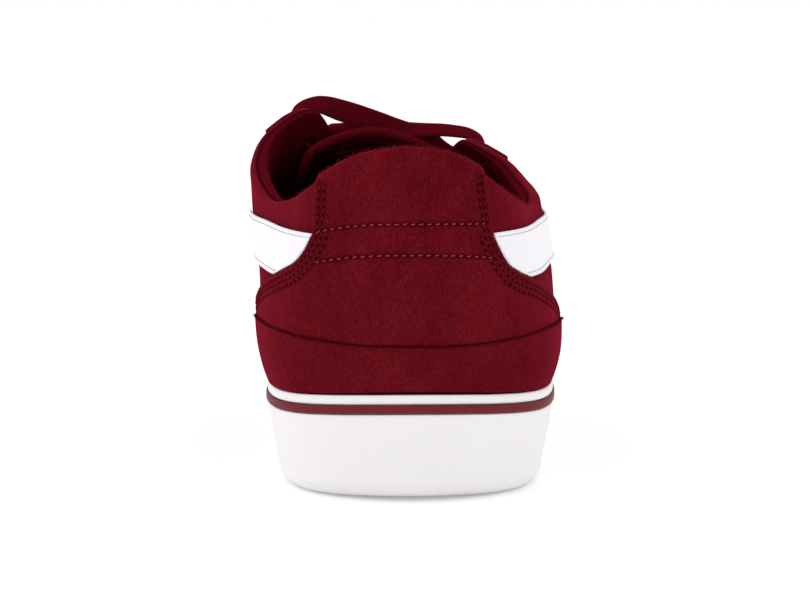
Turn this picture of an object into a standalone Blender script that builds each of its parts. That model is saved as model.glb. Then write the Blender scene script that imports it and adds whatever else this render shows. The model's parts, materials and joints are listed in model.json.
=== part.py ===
"""A low skateboarding shoe for the right foot, built from the pieces that a maker puts together.

Heel towards -Y, toe towards +Y, medial side towards -X, ground at Z = 0. Metres.
The origin is on the ground, under the middle of the shoe's box.
"""

import math
from collections import namedtuple

import bmesh
import bpy
import numpy as np
from mathutils import Vector

# Driving sizes of the sole
SOLE_LENGTH = 0.300
HEEL_WIDTH = 0.083
BALL_WIDTH = 0.105
WALL_HEIGHT = 0.0296
TOE_SPRING = 0.0110
HEEL_BEVEL = 0.0026
WALL_TAPER = 0.0038
FOOT_RADIUS = 0.0040
HEEL_FOOT_RADIUS = 0.0062
HEEL_FOOT_SHARE = 0.16
LIP_WALL = 0.0020
CUP_WALL = 0.0045
HEEL_SLAB = 0.0130
BALL_SLAB = 0.0085
STRIPE_HEIGHT = 0.0025
STRIPE_BELOW_LIP = 0.0029
STRIPE_DEPTH = 0.0009
STRIPE_PROUD = 0.0005
SLOT_WIDTH = 0.0028
SLOT_DEPTH = 0.0020
SLOT_PITCH = 0.0095
TREAD_RIM = 0.0130
BALL_SLOTS = 11
HEEL_SLOTS = 5

# Driving sizes of the upper
BACK_HEIGHT = 0.0980
ANKLE_HEIGHT = 0.0800
INSTEP_HEIGHT = 0.1052
THROAT_HEIGHT = 0.0680
TOE_HEIGHT = 0.0560
UPPER_WALL = 0.0024
COLLAR_PADDING = 0.0060
OVERLAY_WALL = 0.0012
FOXING_WALL = 0.0016
BAND_WALL = 0.0010
BAND_WIDTH = 0.0135
BAND_HEIGHT = 0.0690
INSOLE_THICKNESS = 0.0050
TONGUE_PADDING = 0.0055
TONGUE_EDGE = 0.0024
EYELET_RADIUS = 0.0023
EYELET_INSET = 0.0085
EYELET_PAIRS = 6
EYELET_DRILL = 0.010
LACE_WIDTH = 0.0075
LACE_THICKNESS = 0.0015
GAP = 0.0003

OutlineRow = namedtuple("OutlineRow", "forward size medial lateral")
OUTLINE_ROWS = (
    OutlineRow(0.0093, "heel", 0.386, 0.390),
    OutlineRow(0.0300, "heel", 0.675, 0.685),
    OutlineRow(0.0650, "heel", 0.892, 0.905),
    OutlineRow(0.1200, "heel", 1.000, 1.014),
    OutlineRow(0.2000, "heel", 0.964, 1.024),
    OutlineRow(0.2830, "heel", 0.916, 1.000),
    OutlineRow(0.3670, "heel", 0.916, 1.024),
    OutlineRow(0.4670, "ball", 0.781, 0.876),
    OutlineRow(0.5670, "ball", 0.876, 0.962),
    OutlineRow(0.6500, "ball", 0.952, 1.010),
    OutlineRow(0.7200, "ball", 0.990, 1.000),
    OutlineRow(0.8000, "ball", 0.971, 0.914),
    OutlineRow(0.8730, "ball", 0.886, 0.743),
    OutlineRow(0.9350, "ball", 0.724, 0.495),
    OutlineRow(0.9800, "ball", 0.476, 0.190),
)
TOE_TIP_SIDE = -0.152

WallRow = namedtuple("WallRow", "forward height")
WALL_ROWS = (
    WallRow(0.00, 0.990),
    WallRow(0.20, 1.000),
    WallRow(0.45, 0.940),
    WallRow(0.70, 0.925),
    WallRow(1.00, 0.880),
)

# One row for each section of the upper, from the middle of the back to the toe tip.
# around: where the section stands on the sole's outline, as a share of the way to the toe tip
# forward, and each side's side and height: the top end of the section, in shares of the named sizes
# lean: the slope of the wall there, in degrees above level; flare: how far it swells from the sole
Section = namedtuple(
    "Section",
    "name around forward width height medial_side medial_up medial_lean "
    "lateral_side lateral_up lateral_lean flare fullness padding",
)
SECTIONS = (
    Section("back", 0.000, 0.0083, "heel", "back", -0.060, 1.000, 84, -0.060, 1.000, 84, 8, 0.40, 1.0),
    Section("tab", 0.040, 0.0127, "heel", "back", -0.360, 0.977, 84, 0.229, 0.985, 84, 14, 0.40, 1.0),
    Section("tab edge", 0.080, 0.0283, "heel", "back", -0.618, 0.918, 84, 0.458, 0.938, 83, 20, 0.40, 1.0),
    Section("behind ankle", 0.135, 0.0767, "heel", "ankle", -0.825, 1.038, 85, 0.735, 1.040, 82, 24, 0.40, 1.0),
    Section("ankle", 0.195, 0.1570, "heel", "ankle", -1.000, 0.998, 88, 0.910, 0.974, 82, 25, 0.40, 1.0),
    Section("before ankle", 0.255, 0.2130, "heel", "ankle", -1.118, 1.047, 94, 0.975, 1.003, 78, 23, 0.40, 0.95),
    Section("collar rise", 0.310, 0.2700, "heel", "instep", -1.162, 0.847, 91, 0.922, 0.800, 68, 20, 0.42, 0.75),
    Section("collar front", 0.355, 0.3170, "heel", "instep", -1.092, 0.919, 74, 0.798, 0.851, 56, 18, 0.44, 0.40),
    Section("stay shoulder", 0.390, 0.3530, "heel", "instep", -0.905, 0.978, 54, 0.615, 0.892, 46, 16, 0.45, 0.10),
    Section("stay corner", 0.412, 0.3730, "heel", "instep", -0.745, 1.000, 42, 0.500, 0.905, 40, 15, 0.46, 0.0),
    Section("throat top", 0.435, 0.3930, "heel", "instep", -0.655, 0.972, 39, 0.430, 0.885, 38, 15, 0.47, 0.0),
    Section("throat 1", 0.485, 0.4530, "heel", "instep", -0.542, 0.872, 34, 0.301, 0.810, 34, 14, 0.49, 0.0),
    Section("throat 2", 0.545, 0.5200, "heel", "instep", -0.458, 0.777, 30, 0.229, 0.734, 30, 14, 0.50, 0.0),
    Section("throat 3", 0.600, 0.5800, "heel", "throat", -0.386, 1.075, 26, 0.169, 1.040, 26, 14, 0.51, 0.0),
    Section("throat foot", 0.638, 0.6180, "heel", "throat", -0.289, 1.020, 18, 0.090, 1.008, 18, 14, 0.52, 0.0),
    Section("throat end", 0.664, 0.6330, "ball", "throat", -0.080, 1.000, 6, -0.080, 1.000, 6, 14, 0.53, 0.0),
    Section("vamp 1", 0.705, 0.6800, "ball", "throat", -0.088, 0.947, 0, -0.088, 0.947, 0, 14, 0.54, 0.0),
    Section("vamp 2", 0.750, 0.7300, "ball", "throat", -0.100, 0.907, 0, -0.100, 0.907, 0, 14, 0.55, 0.0),
    Section("vamp 3", 0.797, 0.7800, "ball", "toe", -0.114, 1.068, 0, -0.114, 1.068, 0, 14, 0.55, 0.0),
    Section("toe box 1", 0.847, 0.8230, "ball", "toe", -0.130, 1.042, 0, -0.130, 1.042, 0, 12, 0.55, 0.0),
    Section("toe box 2", 0.898, 0.8550, "ball", "toe", -0.142, 1.018, 0, -0.142, 1.018, 0, 10, 0.55, 0.0),
    Section("toe box 3", 0.949, 0.8790, "ball", "toe", -0.150, 0.998, 0, -0.150, 0.998, 0, 8, 0.55, 0.0),
    Section("toe tip", 1.000, 0.8930, "ball", "toe", -0.155, 0.985, 0, -0.155, 0.985, 0, 7, 0.55, 0.0),
)
STATION = {row.name: number for number, row in enumerate(SECTIONS)}
THROAT_END = STATION["throat end"]
STAY_CORNER = STATION["stay corner"]
LAST_STATION = len(SECTIONS) - 1
COLUMNS_PER_STATION = 2
OUTER_ROWS = 8
CUP_ROWS = 2

# How the collar's padding swells the wall: v is the way up a section, from the sole's lip to the rim
PaddingRow = namedtuple("PaddingRow", "way_up share")
PADDING_ROWS = (
    PaddingRow(0.00, 0.10),
    PaddingRow(0.35, 0.25),
    PaddingRow(0.70, 0.85),
    PaddingRow(0.88, 1.00),
    PaddingRow(1.00, 0.62),
)
CREST_RISE = 0.30

# The seam between the heel counter and the foxing below it, as shares of the back height
EdgeRow = namedtuple("EdgeRow", "station medial lateral")
SEAM_ROWS = (
    EdgeRow("back", 0.462, 0.462),
    EdgeRow("tab", 0.466, 0.464),
    EdgeRow("tab edge", 0.478, 0.474),
    EdgeRow("behind ankle", 0.492, 0.486),
    EdgeRow("ankle", 0.490, 0.474),
    EdgeRow("before ankle", 0.455, 0.440),
    EdgeRow("collar rise", 0.395, 0.385),
    EdgeRow("collar front", 0.340, 0.335),
)
# The counter's wings, from the tab's corner forward. past: stations past the tab's edge
WingRow = namedtuple("WingRow", "past medial lateral")
WING_ROWS = (
    WingRow(0.00, 0.775, 0.765),
    WingRow(0.20, 0.722, 0.685),
    WingRow(0.40, 0.688, 0.656),
    WingRow(0.80, 0.653, 0.622),
    WingRow(1.40, 0.606, 0.563),
    WingRow(2.00, 0.548, 0.507),
    WingRow(3.00, 0.500, 0.478),
)

# The top edge of the tongue. side: share of half the heel width; up: share of the back height
TongueTop = namedtuple("TongueTop", "side up")
TONGUE_TOP_ROWS = (
    TongueTop(-0.830, 0.867),
    TongueTop(-0.640, 0.950),
    TongueTop(-0.230, 1.010),
    TongueTop(0.130, 0.980),
    TongueTop(0.540, 0.872),
)
TONGUE_TOP_FORWARD = 0.342
TONGUE_FOOT_FORWARD = 0.668
TONGUE_CLEARANCE = 0.0018
TONGUE_DROP = 0.0025
TONGUE_SPREAD = 0.0130
TONGUE_FOOT_DROP = 0.0058
TONGUE_DIP = 0.0022
TONGUE_CURL = (0.85, 0.55, 0.20)

# The loose top crossing. side: share of half the heel width; forward: share of the sole's length;
# up: share of the instep height; tilt and lean: how far the lace's face turns to the heel and
# outwards, in degrees
LoopPoint = namedtuple("LoopPoint", "side forward up tilt lean")
TOP_CROSSING = LoopPoint(-0.031, 0.404, 0.931, 45, 0)
TOP_LOOPS = {
    -1: (
        LoopPoint(-0.480, 0.404, 1.001, 60, 0),
        LoopPoint(-0.690, 0.406, 1.011, 50, 5),
        LoopPoint(-0.850, 0.410, 0.982, 25, 55),
        LoopPoint(-0.870, 0.413, 0.942, 10, 85),
    ),
    1: (
        LoopPoint(0.230, 0.404, 0.934, 38, 0),
        LoopPoint(0.450, 0.406, 0.930, 38, 5),
        LoopPoint(0.620, 0.410, 0.902, 20, 55),
        LoopPoint(0.650, 0.413, 0.868, 10, 80),
    ),
}

NAMED_HEIGHTS = {
    "back": BACK_HEIGHT,
    "ankle": ANKLE_HEIGHT,
    "instep": INSTEP_HEIGHT,
    "throat": THROAT_HEIGHT,
    "toe": TOE_HEIGHT,
}
HALF_WIDTHS = {"heel": HEEL_WIDTH / 2, "ball": BALL_WIDTH / 2}


# Curves

def closed_spline(points):
    """A smooth closed curve through the points, as a function of its knot number, from 0 to the count."""
    values = np.array(points, float)
    count = len(values)
    lengths = np.linalg.norm(np.roll(values, -1, 0) - values, axis=1)
    matrix = np.zeros((count, count))
    right = np.zeros(values.shape)
    for i in range(count):
        before, after = lengths[i - 1], lengths[i]
        matrix[i, i - 1] += before
        matrix[i, i] += 2 * (before + after)
        matrix[i, (i + 1) % count] += after
        step_after = (values[(i + 1) % count] - values[i]) / after
        step_before = (values[i] - values[i - 1]) / before
        right[i] = 6 * (step_after - step_before)
    bend = np.linalg.solve(matrix, right)

    def at(knot):
        i = int(math.floor(knot)) % count
        j = (i + 1) % count
        h = lengths[i]
        b = (knot - math.floor(knot)) * h
        a = h - b
        return (
            (bend[i] * a**3 + bend[j] * b**3) / (6 * h)
            + (values[i] / h - bend[i] * h / 6) * a
            + (values[j] / h - bend[j] * h / 6) * b
        )

    return at


def through(knots, values):
    """A smooth function through the rows, with no overshoot to speak of."""
    x = np.array(knots, float)
    y = np.array(values, float)
    steps = np.diff(y) / np.diff(x)
    slopes = np.empty(len(x))
    slopes[0], slopes[-1] = steps[0], steps[-1]
    for i in range(1, len(x) - 1):
        before, after = x[i] - x[i - 1], x[i + 1] - x[i]
        slopes[i] = (steps[i - 1] * after + steps[i] * before) / (before + after)

    def at(value):
        value = min(max(value, x[0]), x[-1])
        i = min(int(np.searchsorted(x, value, side="right")) - 1, len(x) - 2)
        h = x[i + 1] - x[i]
        t = (value - x[i]) / h
        return (
            y[i] * (1 + 2 * t) * (1 - t) ** 2
            + y[i + 1] * t * t * (3 - 2 * t)
            + h * t * (1 - t) * (slopes[i] * (1 - t) - slopes[i + 1] * t)
        )

    return at


# The sole's outline, heights and walls

def outline_points():
    lateral = [(row.lateral * HALF_WIDTHS[row.size], row.forward * SOLE_LENGTH) for row in OUTLINE_ROWS]
    medial = [(-row.medial * HALF_WIDTHS[row.size], row.forward * SOLE_LENGTH) for row in OUTLINE_ROWS]
    tip = (TOE_TIP_SIDE * HALF_WIDTHS["ball"], SOLE_LENGTH)
    return [(0.0, 0.0)] + lateral + [tip] + medial[::-1]


OUTLINE = closed_spline(outline_points())
TIP_KNOT = len(OUTLINE_ROWS) + 1
KNOTS = 2 * TIP_KNOT
FINE = 40


def knots_by_length(side):
    """The outline's knot numbers against the share of the way from the back to the toe tip."""
    knots = np.linspace(0, TIP_KNOT, TIP_KNOT * FINE + 1)
    if side < 0:
        knots = KNOTS - knots
    points = np.array([OUTLINE(k) for k in knots])
    lengths = np.concatenate([[0], np.cumsum(np.linalg.norm(np.diff(points, axis=0), axis=1))])
    return lengths / lengths[-1], knots


AROUND = {side: knots_by_length(side) for side in (-1, 1)}


def outline_knot(side, around):
    shares, knots = AROUND[side]
    return float(np.interp(around, shares, knots))


def outline_at(knot, inset=0.0):
    """A point on the outline, moved inwards by inset, and the outward normal there."""
    step = 0.02
    x, y = OUTLINE(knot)
    dx, dy = OUTLINE(knot + step) - OUTLINE(knot - step)
    length = math.hypot(dx, dy)
    nx, ny = dy / length, -dx / length
    return x - nx * inset, y - ny * inset, nx, ny


EDGE_POINTS = np.array([OUTLINE(k) for k in np.linspace(0, KNOTS, KNOTS * FINE)])
MIDDLE = (EDGE_POINTS.max(0) + EDGE_POINTS.min(0)) / 2

wall_share = through([row.forward for row in WALL_ROWS], [row.height for row in WALL_ROWS])
HEEL_FLAT = 0.085
BALL_BREAK = 0.66
SPRING_POWER = 1.8


def ground(y):
    share = y / SOLE_LENGTH
    if share < HEEL_FLAT:
        return HEEL_BEVEL * ((HEEL_FLAT - share) / HEEL_FLAT) ** 2
    if share > BALL_BREAK:
        return TOE_SPRING * ((share - BALL_BREAK) / (1 - BALL_BREAK)) ** SPRING_POWER
    return 0.0


def lip_top(y):
    return ground(y) + WALL_HEIGHT * wall_share(y / SOLE_LENGTH)


def cup_floor(y):
    share = min(max((y / SOLE_LENGTH - 0.15) / 0.50, 0), 1)
    ease = share * share * (3 - 2 * share)
    lift = ground(y) if y > SOLE_LENGTH / 2 else 0.0
    return lift + HEEL_SLAB + (BALL_SLAB - HEEL_SLAB) * ease


def cup_inset(z, y):
    """How far the cup's inner wall stands in from the outline, at a height."""
    top, floor = lip_top(y), cup_floor(y)
    share = min(max((top - z) / (top - floor), 0), 1)
    return LIP_WALL + (CUP_WALL - LIP_WALL) * share


# The upper's own surface

def column(field):
    return [getattr(row, field) for row in SECTIONS]


STATIONS = range(len(SECTIONS))
around_at = through(STATIONS, column("around"))
forward_at = through(STATIONS, column("forward"))
flare_at = through(STATIONS, column("flare"))
fullness_at = through(STATIONS, column("fullness"))
padding_at = through(STATIONS, column("padding"))
padding_up = through([row.way_up for row in PADDING_ROWS], [row.share for row in PADDING_ROWS])


def side_rows(side):
    name = "lateral" if side > 0 else "medial"
    sideways = [getattr(row, name + "_side") * HALF_WIDTHS[row.width] for row in SECTIONS]
    heights = [getattr(row, name + "_up") * NAMED_HEIGHTS[row.height] for row in SECTIONS]
    return {
        "side": through(STATIONS, sideways),
        "height": through(STATIONS, heights),
        "lean": through(STATIONS, column(name + "_lean")),
    }


RIM = {side: side_rows(side) for side in (-1, 1)}


def rim_point(side, station):
    rim = RIM[side]
    return Vector((rim["side"](station), forward_at(station) * SOLE_LENGTH, rim["height"](station)))


def section_curve(side, station):
    """The four control points of a section's curve, from the sole's lip up to its top end."""
    knot = outline_knot(side, around_at(station))
    inset = LIP_WALL + GAP
    x, y, nx, ny = outline_at(knot, inset)
    foot = Vector((x, y, lip_top(y)))
    top = rim_point(side, station)
    out = Vector((nx, ny, 0))
    flare = math.radians(flare_at(station))
    lean = math.radians(RIM[side]["lean"](station))
    rising = Vector((0, 0, math.cos(flare))) + out * math.sin(flare)
    falling = out * math.cos(lean) - Vector((0, 0, math.sin(lean)))
    if station > THROAT_END - 1:
        # On the closed vamp a section leaves the ridge along the ridge's own slope
        share = min(station - THROAT_END + 1, 1)
        before, after = rim_point(side, station - 0.2), rim_point(side, min(station + 0.2, LAST_STATION))
        slope = (after.z - before.z) / max(after.y - before.y, 1e-6)
        falling.z += share * slope * ny * math.cos(lean)
    fullness = fullness_at(station)
    low = foot + rising * fullness * (top - foot).dot(rising)
    high = top + falling * fullness * (foot - top).dot(falling)
    return foot, low, high, top, knot


def surface(station, v, cache={}):
    """A point on the upper's outer surface. A negative station is medial, and v below 0 is inside the cup."""
    side = -1 if station < 0 else 1
    key = round(station, 6)
    if key not in cache:
        cache[key] = section_curve(side, abs(station))
    foot, low, high, top, knot = cache[key]
    if v >= 0:
        w = 1 - v
        return foot * w**3 + low * (3 * w * w * v) + high * (3 * w * v * v) + top * v**3
    bottom = cup_floor(foot.y) + GAP
    z = foot.z + (foot.z - bottom) * v
    x, y, _, _ = outline_at(knot, cup_inset(z, foot.y) + GAP)
    return Vector((x, y, z))


def normal(station, v):
    """The outward normal of the upper's surface."""
    step = 0.02
    low, high = max(v - step, 0), min(v + step, 1)
    before, after = max(station - step, -LAST_STATION), min(station + step, LAST_STATION)
    up = surface(station, high) - surface(station, low)
    along = surface(after, v) - surface(before, v)
    return along.cross(up).normalized()


def lifted(station, v, offset):
    return surface(station, v) + normal(station, v) * offset


def way_up_at_height(station, height):
    """Where a section reaches a height."""
    low, high = 0.0, 1.0
    for _ in range(30):
        middle = (low + high) / 2
        if surface(station, middle).z < height:
            low = middle
        else:
            high = middle
    return (low + high) / 2


def way_up_from_rim(station, distance):
    """Where a section is a distance below its top end, along its curve."""
    steps = 60
    last, run = surface(station, 1.0), 0.0
    for i in range(1, steps + 1):
        v = 1 - i / steps
        here = surface(station, v)
        run += (here - last).length
        if run >= distance:
            return v
        last = here
    return 0.0


# Meshes and objects

def placed(point):
    return Vector((point[0] - MIDDLE[0], point[1] - MIDDLE[1], point[2]))


def make_material(name, colour, roughness):
    material = bpy.data.materials.new(name)
    material.use_nodes = True
    shader = material.node_tree.nodes["Principled BSDF"]
    shader.inputs["Base Color"].default_value = (*colour, 1)
    shader.inputs["Roughness"].default_value = roughness
    shader.inputs["Metallic"].default_value = 0
    return material


def make_object(name, bm, material, collection, recalculate=True):
    mesh = bpy.data.meshes.new(name)
    if recalculate:
        bmesh.ops.recalc_face_normals(bm, faces=bm.faces)
    bm.to_mesh(mesh)
    bm.free()
    mesh.materials.append(material)
    mesh.shade_smooth()
    mesh.set_sharp_from_angle(angle=math.radians(40))
    made = bpy.data.objects.new(name, mesh)
    collection.objects.link(made)
    return made


def add_rings(bm, rings, closed_loop=True):
    """Quads between each ring of points and the next. The rings' vertices are returned."""
    made = [[bm.verts.new(placed(point)) for point in ring] for ring in rings]
    for ring, following in zip(made, made[1:]):
        count = len(ring)
        for i in range(count if closed_loop else count - 1):
            j = (i + 1) % count
            bm.faces.new((ring[i], ring[j], following[j], following[i]))
    return made


def add_ladder(bm, ring):
    """Closes a ring that starts at the middle of the back, with rungs from side to side."""
    count = len(ring)
    half = count // 2
    bm.faces.new((ring[0], ring[1], ring[-1]))
    for i in range(1, half - 1):
        bm.faces.new((ring[i], ring[i + 1], ring[-i - 1], ring[-i]))
    bm.faces.new((ring[half - 1], ring[half], ring[half + 1]))


def panel(name, columns, lift, wall, material, collection):
    """A thin panel over the upper. Each column lists its points as (station, way up), from low to high."""
    across, up = len(columns) - 1, len(columns[0]) - 1
    if columns[0][0][0] > columns[-1][0][0]:
        columns = columns[::-1]
    bm = bmesh.new()
    bmesh.ops.create_grid(bm, x_segments=across, y_segments=up, size=0.5)
    for vert in bm.verts:
        i, j = round((vert.co.x + 0.5) * across), round((vert.co.y + 0.5) * up)
        vert.co = placed(lifted(*columns[i][j], lift + wall))
    made = make_object(name, bm, material, collection, recalculate=False)
    shell = made.modifiers.new("wall", "SOLIDIFY")
    shell.thickness = wall
    shell.offset = -1
    return made


def spread(low, high, count):
    return [low + (high - low) * i / count for i in range(count + 1)]


def mesh_from(made):
    """The object's evaluated mesh put in its place, with its modifiers gone."""
    bpy.context.view_layer.update()
    graph = bpy.context.evaluated_depsgraph_get()
    mesh = bpy.data.meshes.new_from_object(made.evaluated_get(graph))
    made.modifiers.clear()
    made.data = mesh


def cut(made, cutters):
    modifier = made.modifiers.new("cut", "BOOLEAN")
    modifier.operation = "DIFFERENCE"
    modifier.solver = "EXACT"
    modifier.operand_type = "COLLECTION"
    modifier.collection = cutters
    mesh_from(made)


# The pieces

SOLE_KNOTS = 72


def sole_knots():
    half = SOLE_KNOTS // 2
    lateral = [outline_knot(1, i / half) for i in range(half + 1)]
    medial = [outline_knot(-1, i / half) for i in range(half - 1, 0, -1)]
    return lateral + medial


def ring_at(knots, inset, height):
    """A ring of points; height is a function of the forward distance, and inset a number or such a function."""
    ring = []
    for knot in knots:
        _, y, _, _ = outline_at(knot)
        x, y, _, _ = outline_at(knot, inset(y) if callable(inset) else inset)
        ring.append((x, y, height(y)))
    return ring


def taper(y):
    """The wall leans in most at the heel, and less along the waist and ball."""
    share = min(max(y / SOLE_LENGTH / 0.35, 0), 1)
    return WALL_TAPER * (1 - 0.4 * share * share * (3 - 2 * share))


def stripe_band():
    """Heights of the stripe's lower and upper edges below the lip's top."""
    return STRIPE_BELOW_LIP + STRIPE_HEIGHT, STRIPE_BELOW_LIP


def foot_radius(y):
    """The round between the side wall and the tread, larger round the heel."""
    share = max(0.0, 1 - y / (HEEL_FOOT_SHARE * SOLE_LENGTH))
    return FOOT_RADIUS + (HEEL_FOOT_RADIUS - FOOT_RADIUS) * share * share * (3 - 2 * share)


def make_cupsole(material, collection, cutters):
    bm = bmesh.new()
    knots = sole_knots()
    low, high = stripe_band()
    rings = [
        ring_at(knots, lambda y: taper(y) + foot_radius(y), ground),
        ring_at(knots, lambda y: taper(y) + 0.30 * foot_radius(y), lambda y: ground(y) + 0.30 * foot_radius(y)),
        ring_at(knots, lambda y: taper(y) * 0.92, lambda y: ground(y) + foot_radius(y)),
        ring_at(knots, lambda y: taper(y) * 0.40, lambda y: ground(y) + 0.45 * WALL_HEIGHT),
        ring_at(knots, 0.0, lambda y: lip_top(y) - low - GAP),
        ring_at(knots, STRIPE_DEPTH, lambda y: lip_top(y) - low - GAP),
        ring_at(knots, STRIPE_DEPTH, lambda y: lip_top(y) - high + GAP),
        ring_at(knots, 0.0, lambda y: lip_top(y) - high + GAP),
        ring_at(knots, LIP_WALL * 0.25, lip_top),
        ring_at(knots, LIP_WALL, lip_top),
        ring_at(knots, CUP_WALL, cup_floor),
    ]
    made = add_rings(bm, rings)
    add_ladder(bm, made[0])
    add_ladder(bm, made[-1])
    sole = make_object("cupsole", bm, material, collection)
    for i, (start, count) in enumerate(((0.50, BALL_SLOTS), (0.09, HEEL_SLOTS))):
        for k in range(count):
            make_slot(f"slot_{i}_{k}", start * SOLE_LENGTH + k * SLOT_PITCH, material, cutters)
    cut(sole, cutters)
    return sole


def half_width(y, side):
    """The sole's half width on one side at a forward distance."""
    shares = np.linspace(0.02, 0.98, 80)
    points = [outline_at(outline_knot(side, s)) for s in shares]
    return float(np.interp(y, [p[1] for p in points], [p[0] for p in points]))


def make_slot(name, y, material, cutters):
    """A flex groove across the tread, which follows the ground line."""
    left, right = half_width(y, -1) + TREAD_RIM, half_width(y, 1) - TREAD_RIM
    bm = bmesh.new()
    bmesh.ops.create_cube(bm, size=1)
    height = 2 * SLOT_DEPTH
    for vert in bm.verts:
        vert.co.x = left if vert.co.x < 0 else right
        vert.co.y = y + vert.co.y * SLOT_WIDTH
        vert.co.z = ground(vert.co.y) + vert.co.z * height
        vert.co = placed(vert.co)
    slot = make_object(name, bm, material, cutters)
    slot.hide_render = True
    slot.display_type = "WIRE"


def make_stripe(material, collection):
    bm = bmesh.new()
    knots = sole_knots()
    low, high = stripe_band()
    inner = STRIPE_DEPTH - GAP
    corners = ((inner, low), (-STRIPE_PROUD, low), (-STRIPE_PROUD, high), (inner, high))
    rings = [ring_at(knots, inset, lambda y, below=below: lip_top(y) - below) for inset, below in corners]
    add_rings(bm, rings + [rings[0]])
    bmesh.ops.remove_doubles(bm, verts=bm.verts, dist=1e-6)
    return make_object("sole_stripe", bm, material, collection)


def make_insole(material, collection):
    bm = bmesh.new()
    half = 28
    lateral = [outline_knot(1, i / half) for i in range(half + 1)]
    knots = lateral + [outline_knot(-1, i / half) for i in range(half - 1, 0, -1)]
    edge = CUP_WALL + GAP + UPPER_WALL + 2 * GAP
    base = lambda y: cup_floor(y) + GAP
    rings = [
        ring_at(knots, edge, base),
        ring_at(knots, edge, lambda y: base(y) + 0.75 * INSOLE_THICKNESS),
        ring_at(knots, edge + 0.4 * INSOLE_THICKNESS, lambda y: base(y) + INSOLE_THICKNESS),
    ]
    made = add_rings(bm, rings)
    add_ladder(bm, made[0])
    add_ladder(bm, made[-1])
    return make_object("insole", bm, material, collection)


def wall_at(station, v):
    return UPPER_WALL + COLLAR_PADDING * padding_at(abs(station)) * padding_up(max(v, 0.0)) * (v > -0.01)


def make_upper(material, collection):
    """The hollow upper: its outer surface as a grid, the same grid moved in by the wall, and its edges."""
    bm = bmesh.new()
    count = LAST_STATION * COLUMNS_PER_STATION
    stations = [i / COLUMNS_PER_STATION for i in range(count + 1)]
    stations += [-s for s in stations[-2:0:-1]]
    ways_up = [-1 + i / CUP_ROWS for i in range(CUP_ROWS)] + spread(0, 1, OUTER_ROWS)
    top = len(ways_up) - 1
    grid = {}
    for s in stations:
        for row, v in enumerate(ways_up):
            if row == top and s < 0 and -s >= THROAT_END:
                grid[s, row] = grid[-s, row]
            else:
                grid[s, row] = bm.verts.new(placed(surface(s, v)))
    loop = list(zip(stations, stations[1:] + stations[:1]))
    for a, b in loop:
        for row in range(top):
            bm.faces.new((grid[a, row], grid[b, row], grid[b, row + 1], grid[a, row + 1]))
    bmesh.ops.recalc_face_normals(bm, faces=bm.faces)
    bm.normal_update()
    outward = grid[0, top // 2]
    turn = 1 if outward.normal.y < 0 else -1
    inner = {}
    for (s, row), vert in list(grid.items()):
        if row == top and s < 0 and -s >= THROAT_END:
            continue
        inner[s, row] = bm.verts.new(vert.co - vert.normal * turn * wall_at(s, ways_up[row]))
    for s in stations:
        if (s, top) not in inner:
            inner[s, top] = inner[-s, top]
    for a, b in loop:
        for row in range(top):
            bm.faces.new((inner[a, row], inner[a, row + 1], inner[b, row + 1], inner[b, row]))
        bm.faces.new((grid[a, 0], inner[a, 0], inner[b, 0], grid[b, 0]))
    crest = {}
    for s in stations:
        if abs(s) > THROAT_END:
            continue
        out, inn = grid[s, top].co, inner[s, top].co
        up = (out - grid[s, top - 1].co).normalized()
        middle = (out + inn) / 2
        if abs(s) < THROAT_END:
            middle += up * (out - inn).length * CREST_RISE
        crest[s] = bm.verts.new(middle) if s != -THROAT_END else crest[THROAT_END]
    for a, b in loop:
        if a in crest and b in crest:
            bm.faces.new((grid[a, top], crest[a], crest[b], grid[b, top]))
            bm.faces.new((crest[a], inner[a, top], inner[b, top], crest[b]))
    return make_object("upper", bm, material, collection)


def edge_curve(rows, side):
    name = "lateral" if side > 0 else "medial"
    heights = [getattr(row, name) * BACK_HEIGHT for row in rows]
    return through([STATION[row.station] for row in rows], heights)


def wing_curve(side):
    """The counter's top edge on one side, as a function of the station."""
    name = "lateral" if side > 0 else "medial"
    heights = [getattr(row, name) * BACK_HEIGHT for row in WING_ROWS]
    return through([STATION["tab edge"] + row.past for row in WING_ROWS], heights)


SEAM = {side: edge_curve(SEAM_ROWS, side) for side in (-1, 1)}
COUNTER_TOP = {side: wing_curve(side) for side in (-1, 1)}
SEAM_END = STATION["collar front"]
COUNTER_END = STATION["before ankle"]
TAB_EDGE = STATION["tab edge"]
PANEL_STEP = 0.5
SEAM_GAP = 0.0004
PANEL_FOOT = 0.020
FOXING_LEAST = 0.050
CORNER_STEPS = (0.08, 0.20, 0.40, 0.60)
WING_COLUMNS = 9


def side_of(station):
    return -1 if station < 0 else 1


def seam_way_up(station):
    return way_up_at_height(station, SEAM[side_of(station)](abs(station)))


def signed_stations(last, step):
    count = round(last / step)
    return [i * step for i in range(-count, count + 1)]


def make_foxing(material, collection):
    columns = []
    for s in signed_stations(SEAM_END, PANEL_STEP):
        top = max(seam_way_up(s), FOXING_LEAST)
        columns.append([(s, v) for v in spread(PANEL_FOOT, top, 3)])
    return panel("heel_foxing", columns, GAP, FOXING_WALL, material, collection)


def counter_top(station):
    """The way up of the counter's upper edge: the rim over the tab, and its wing beside it."""
    if abs(station) <= TAB_EDGE:
        return 1.0
    return way_up_at_height(station, COUNTER_TOP[side_of(station)](abs(station)))


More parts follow.
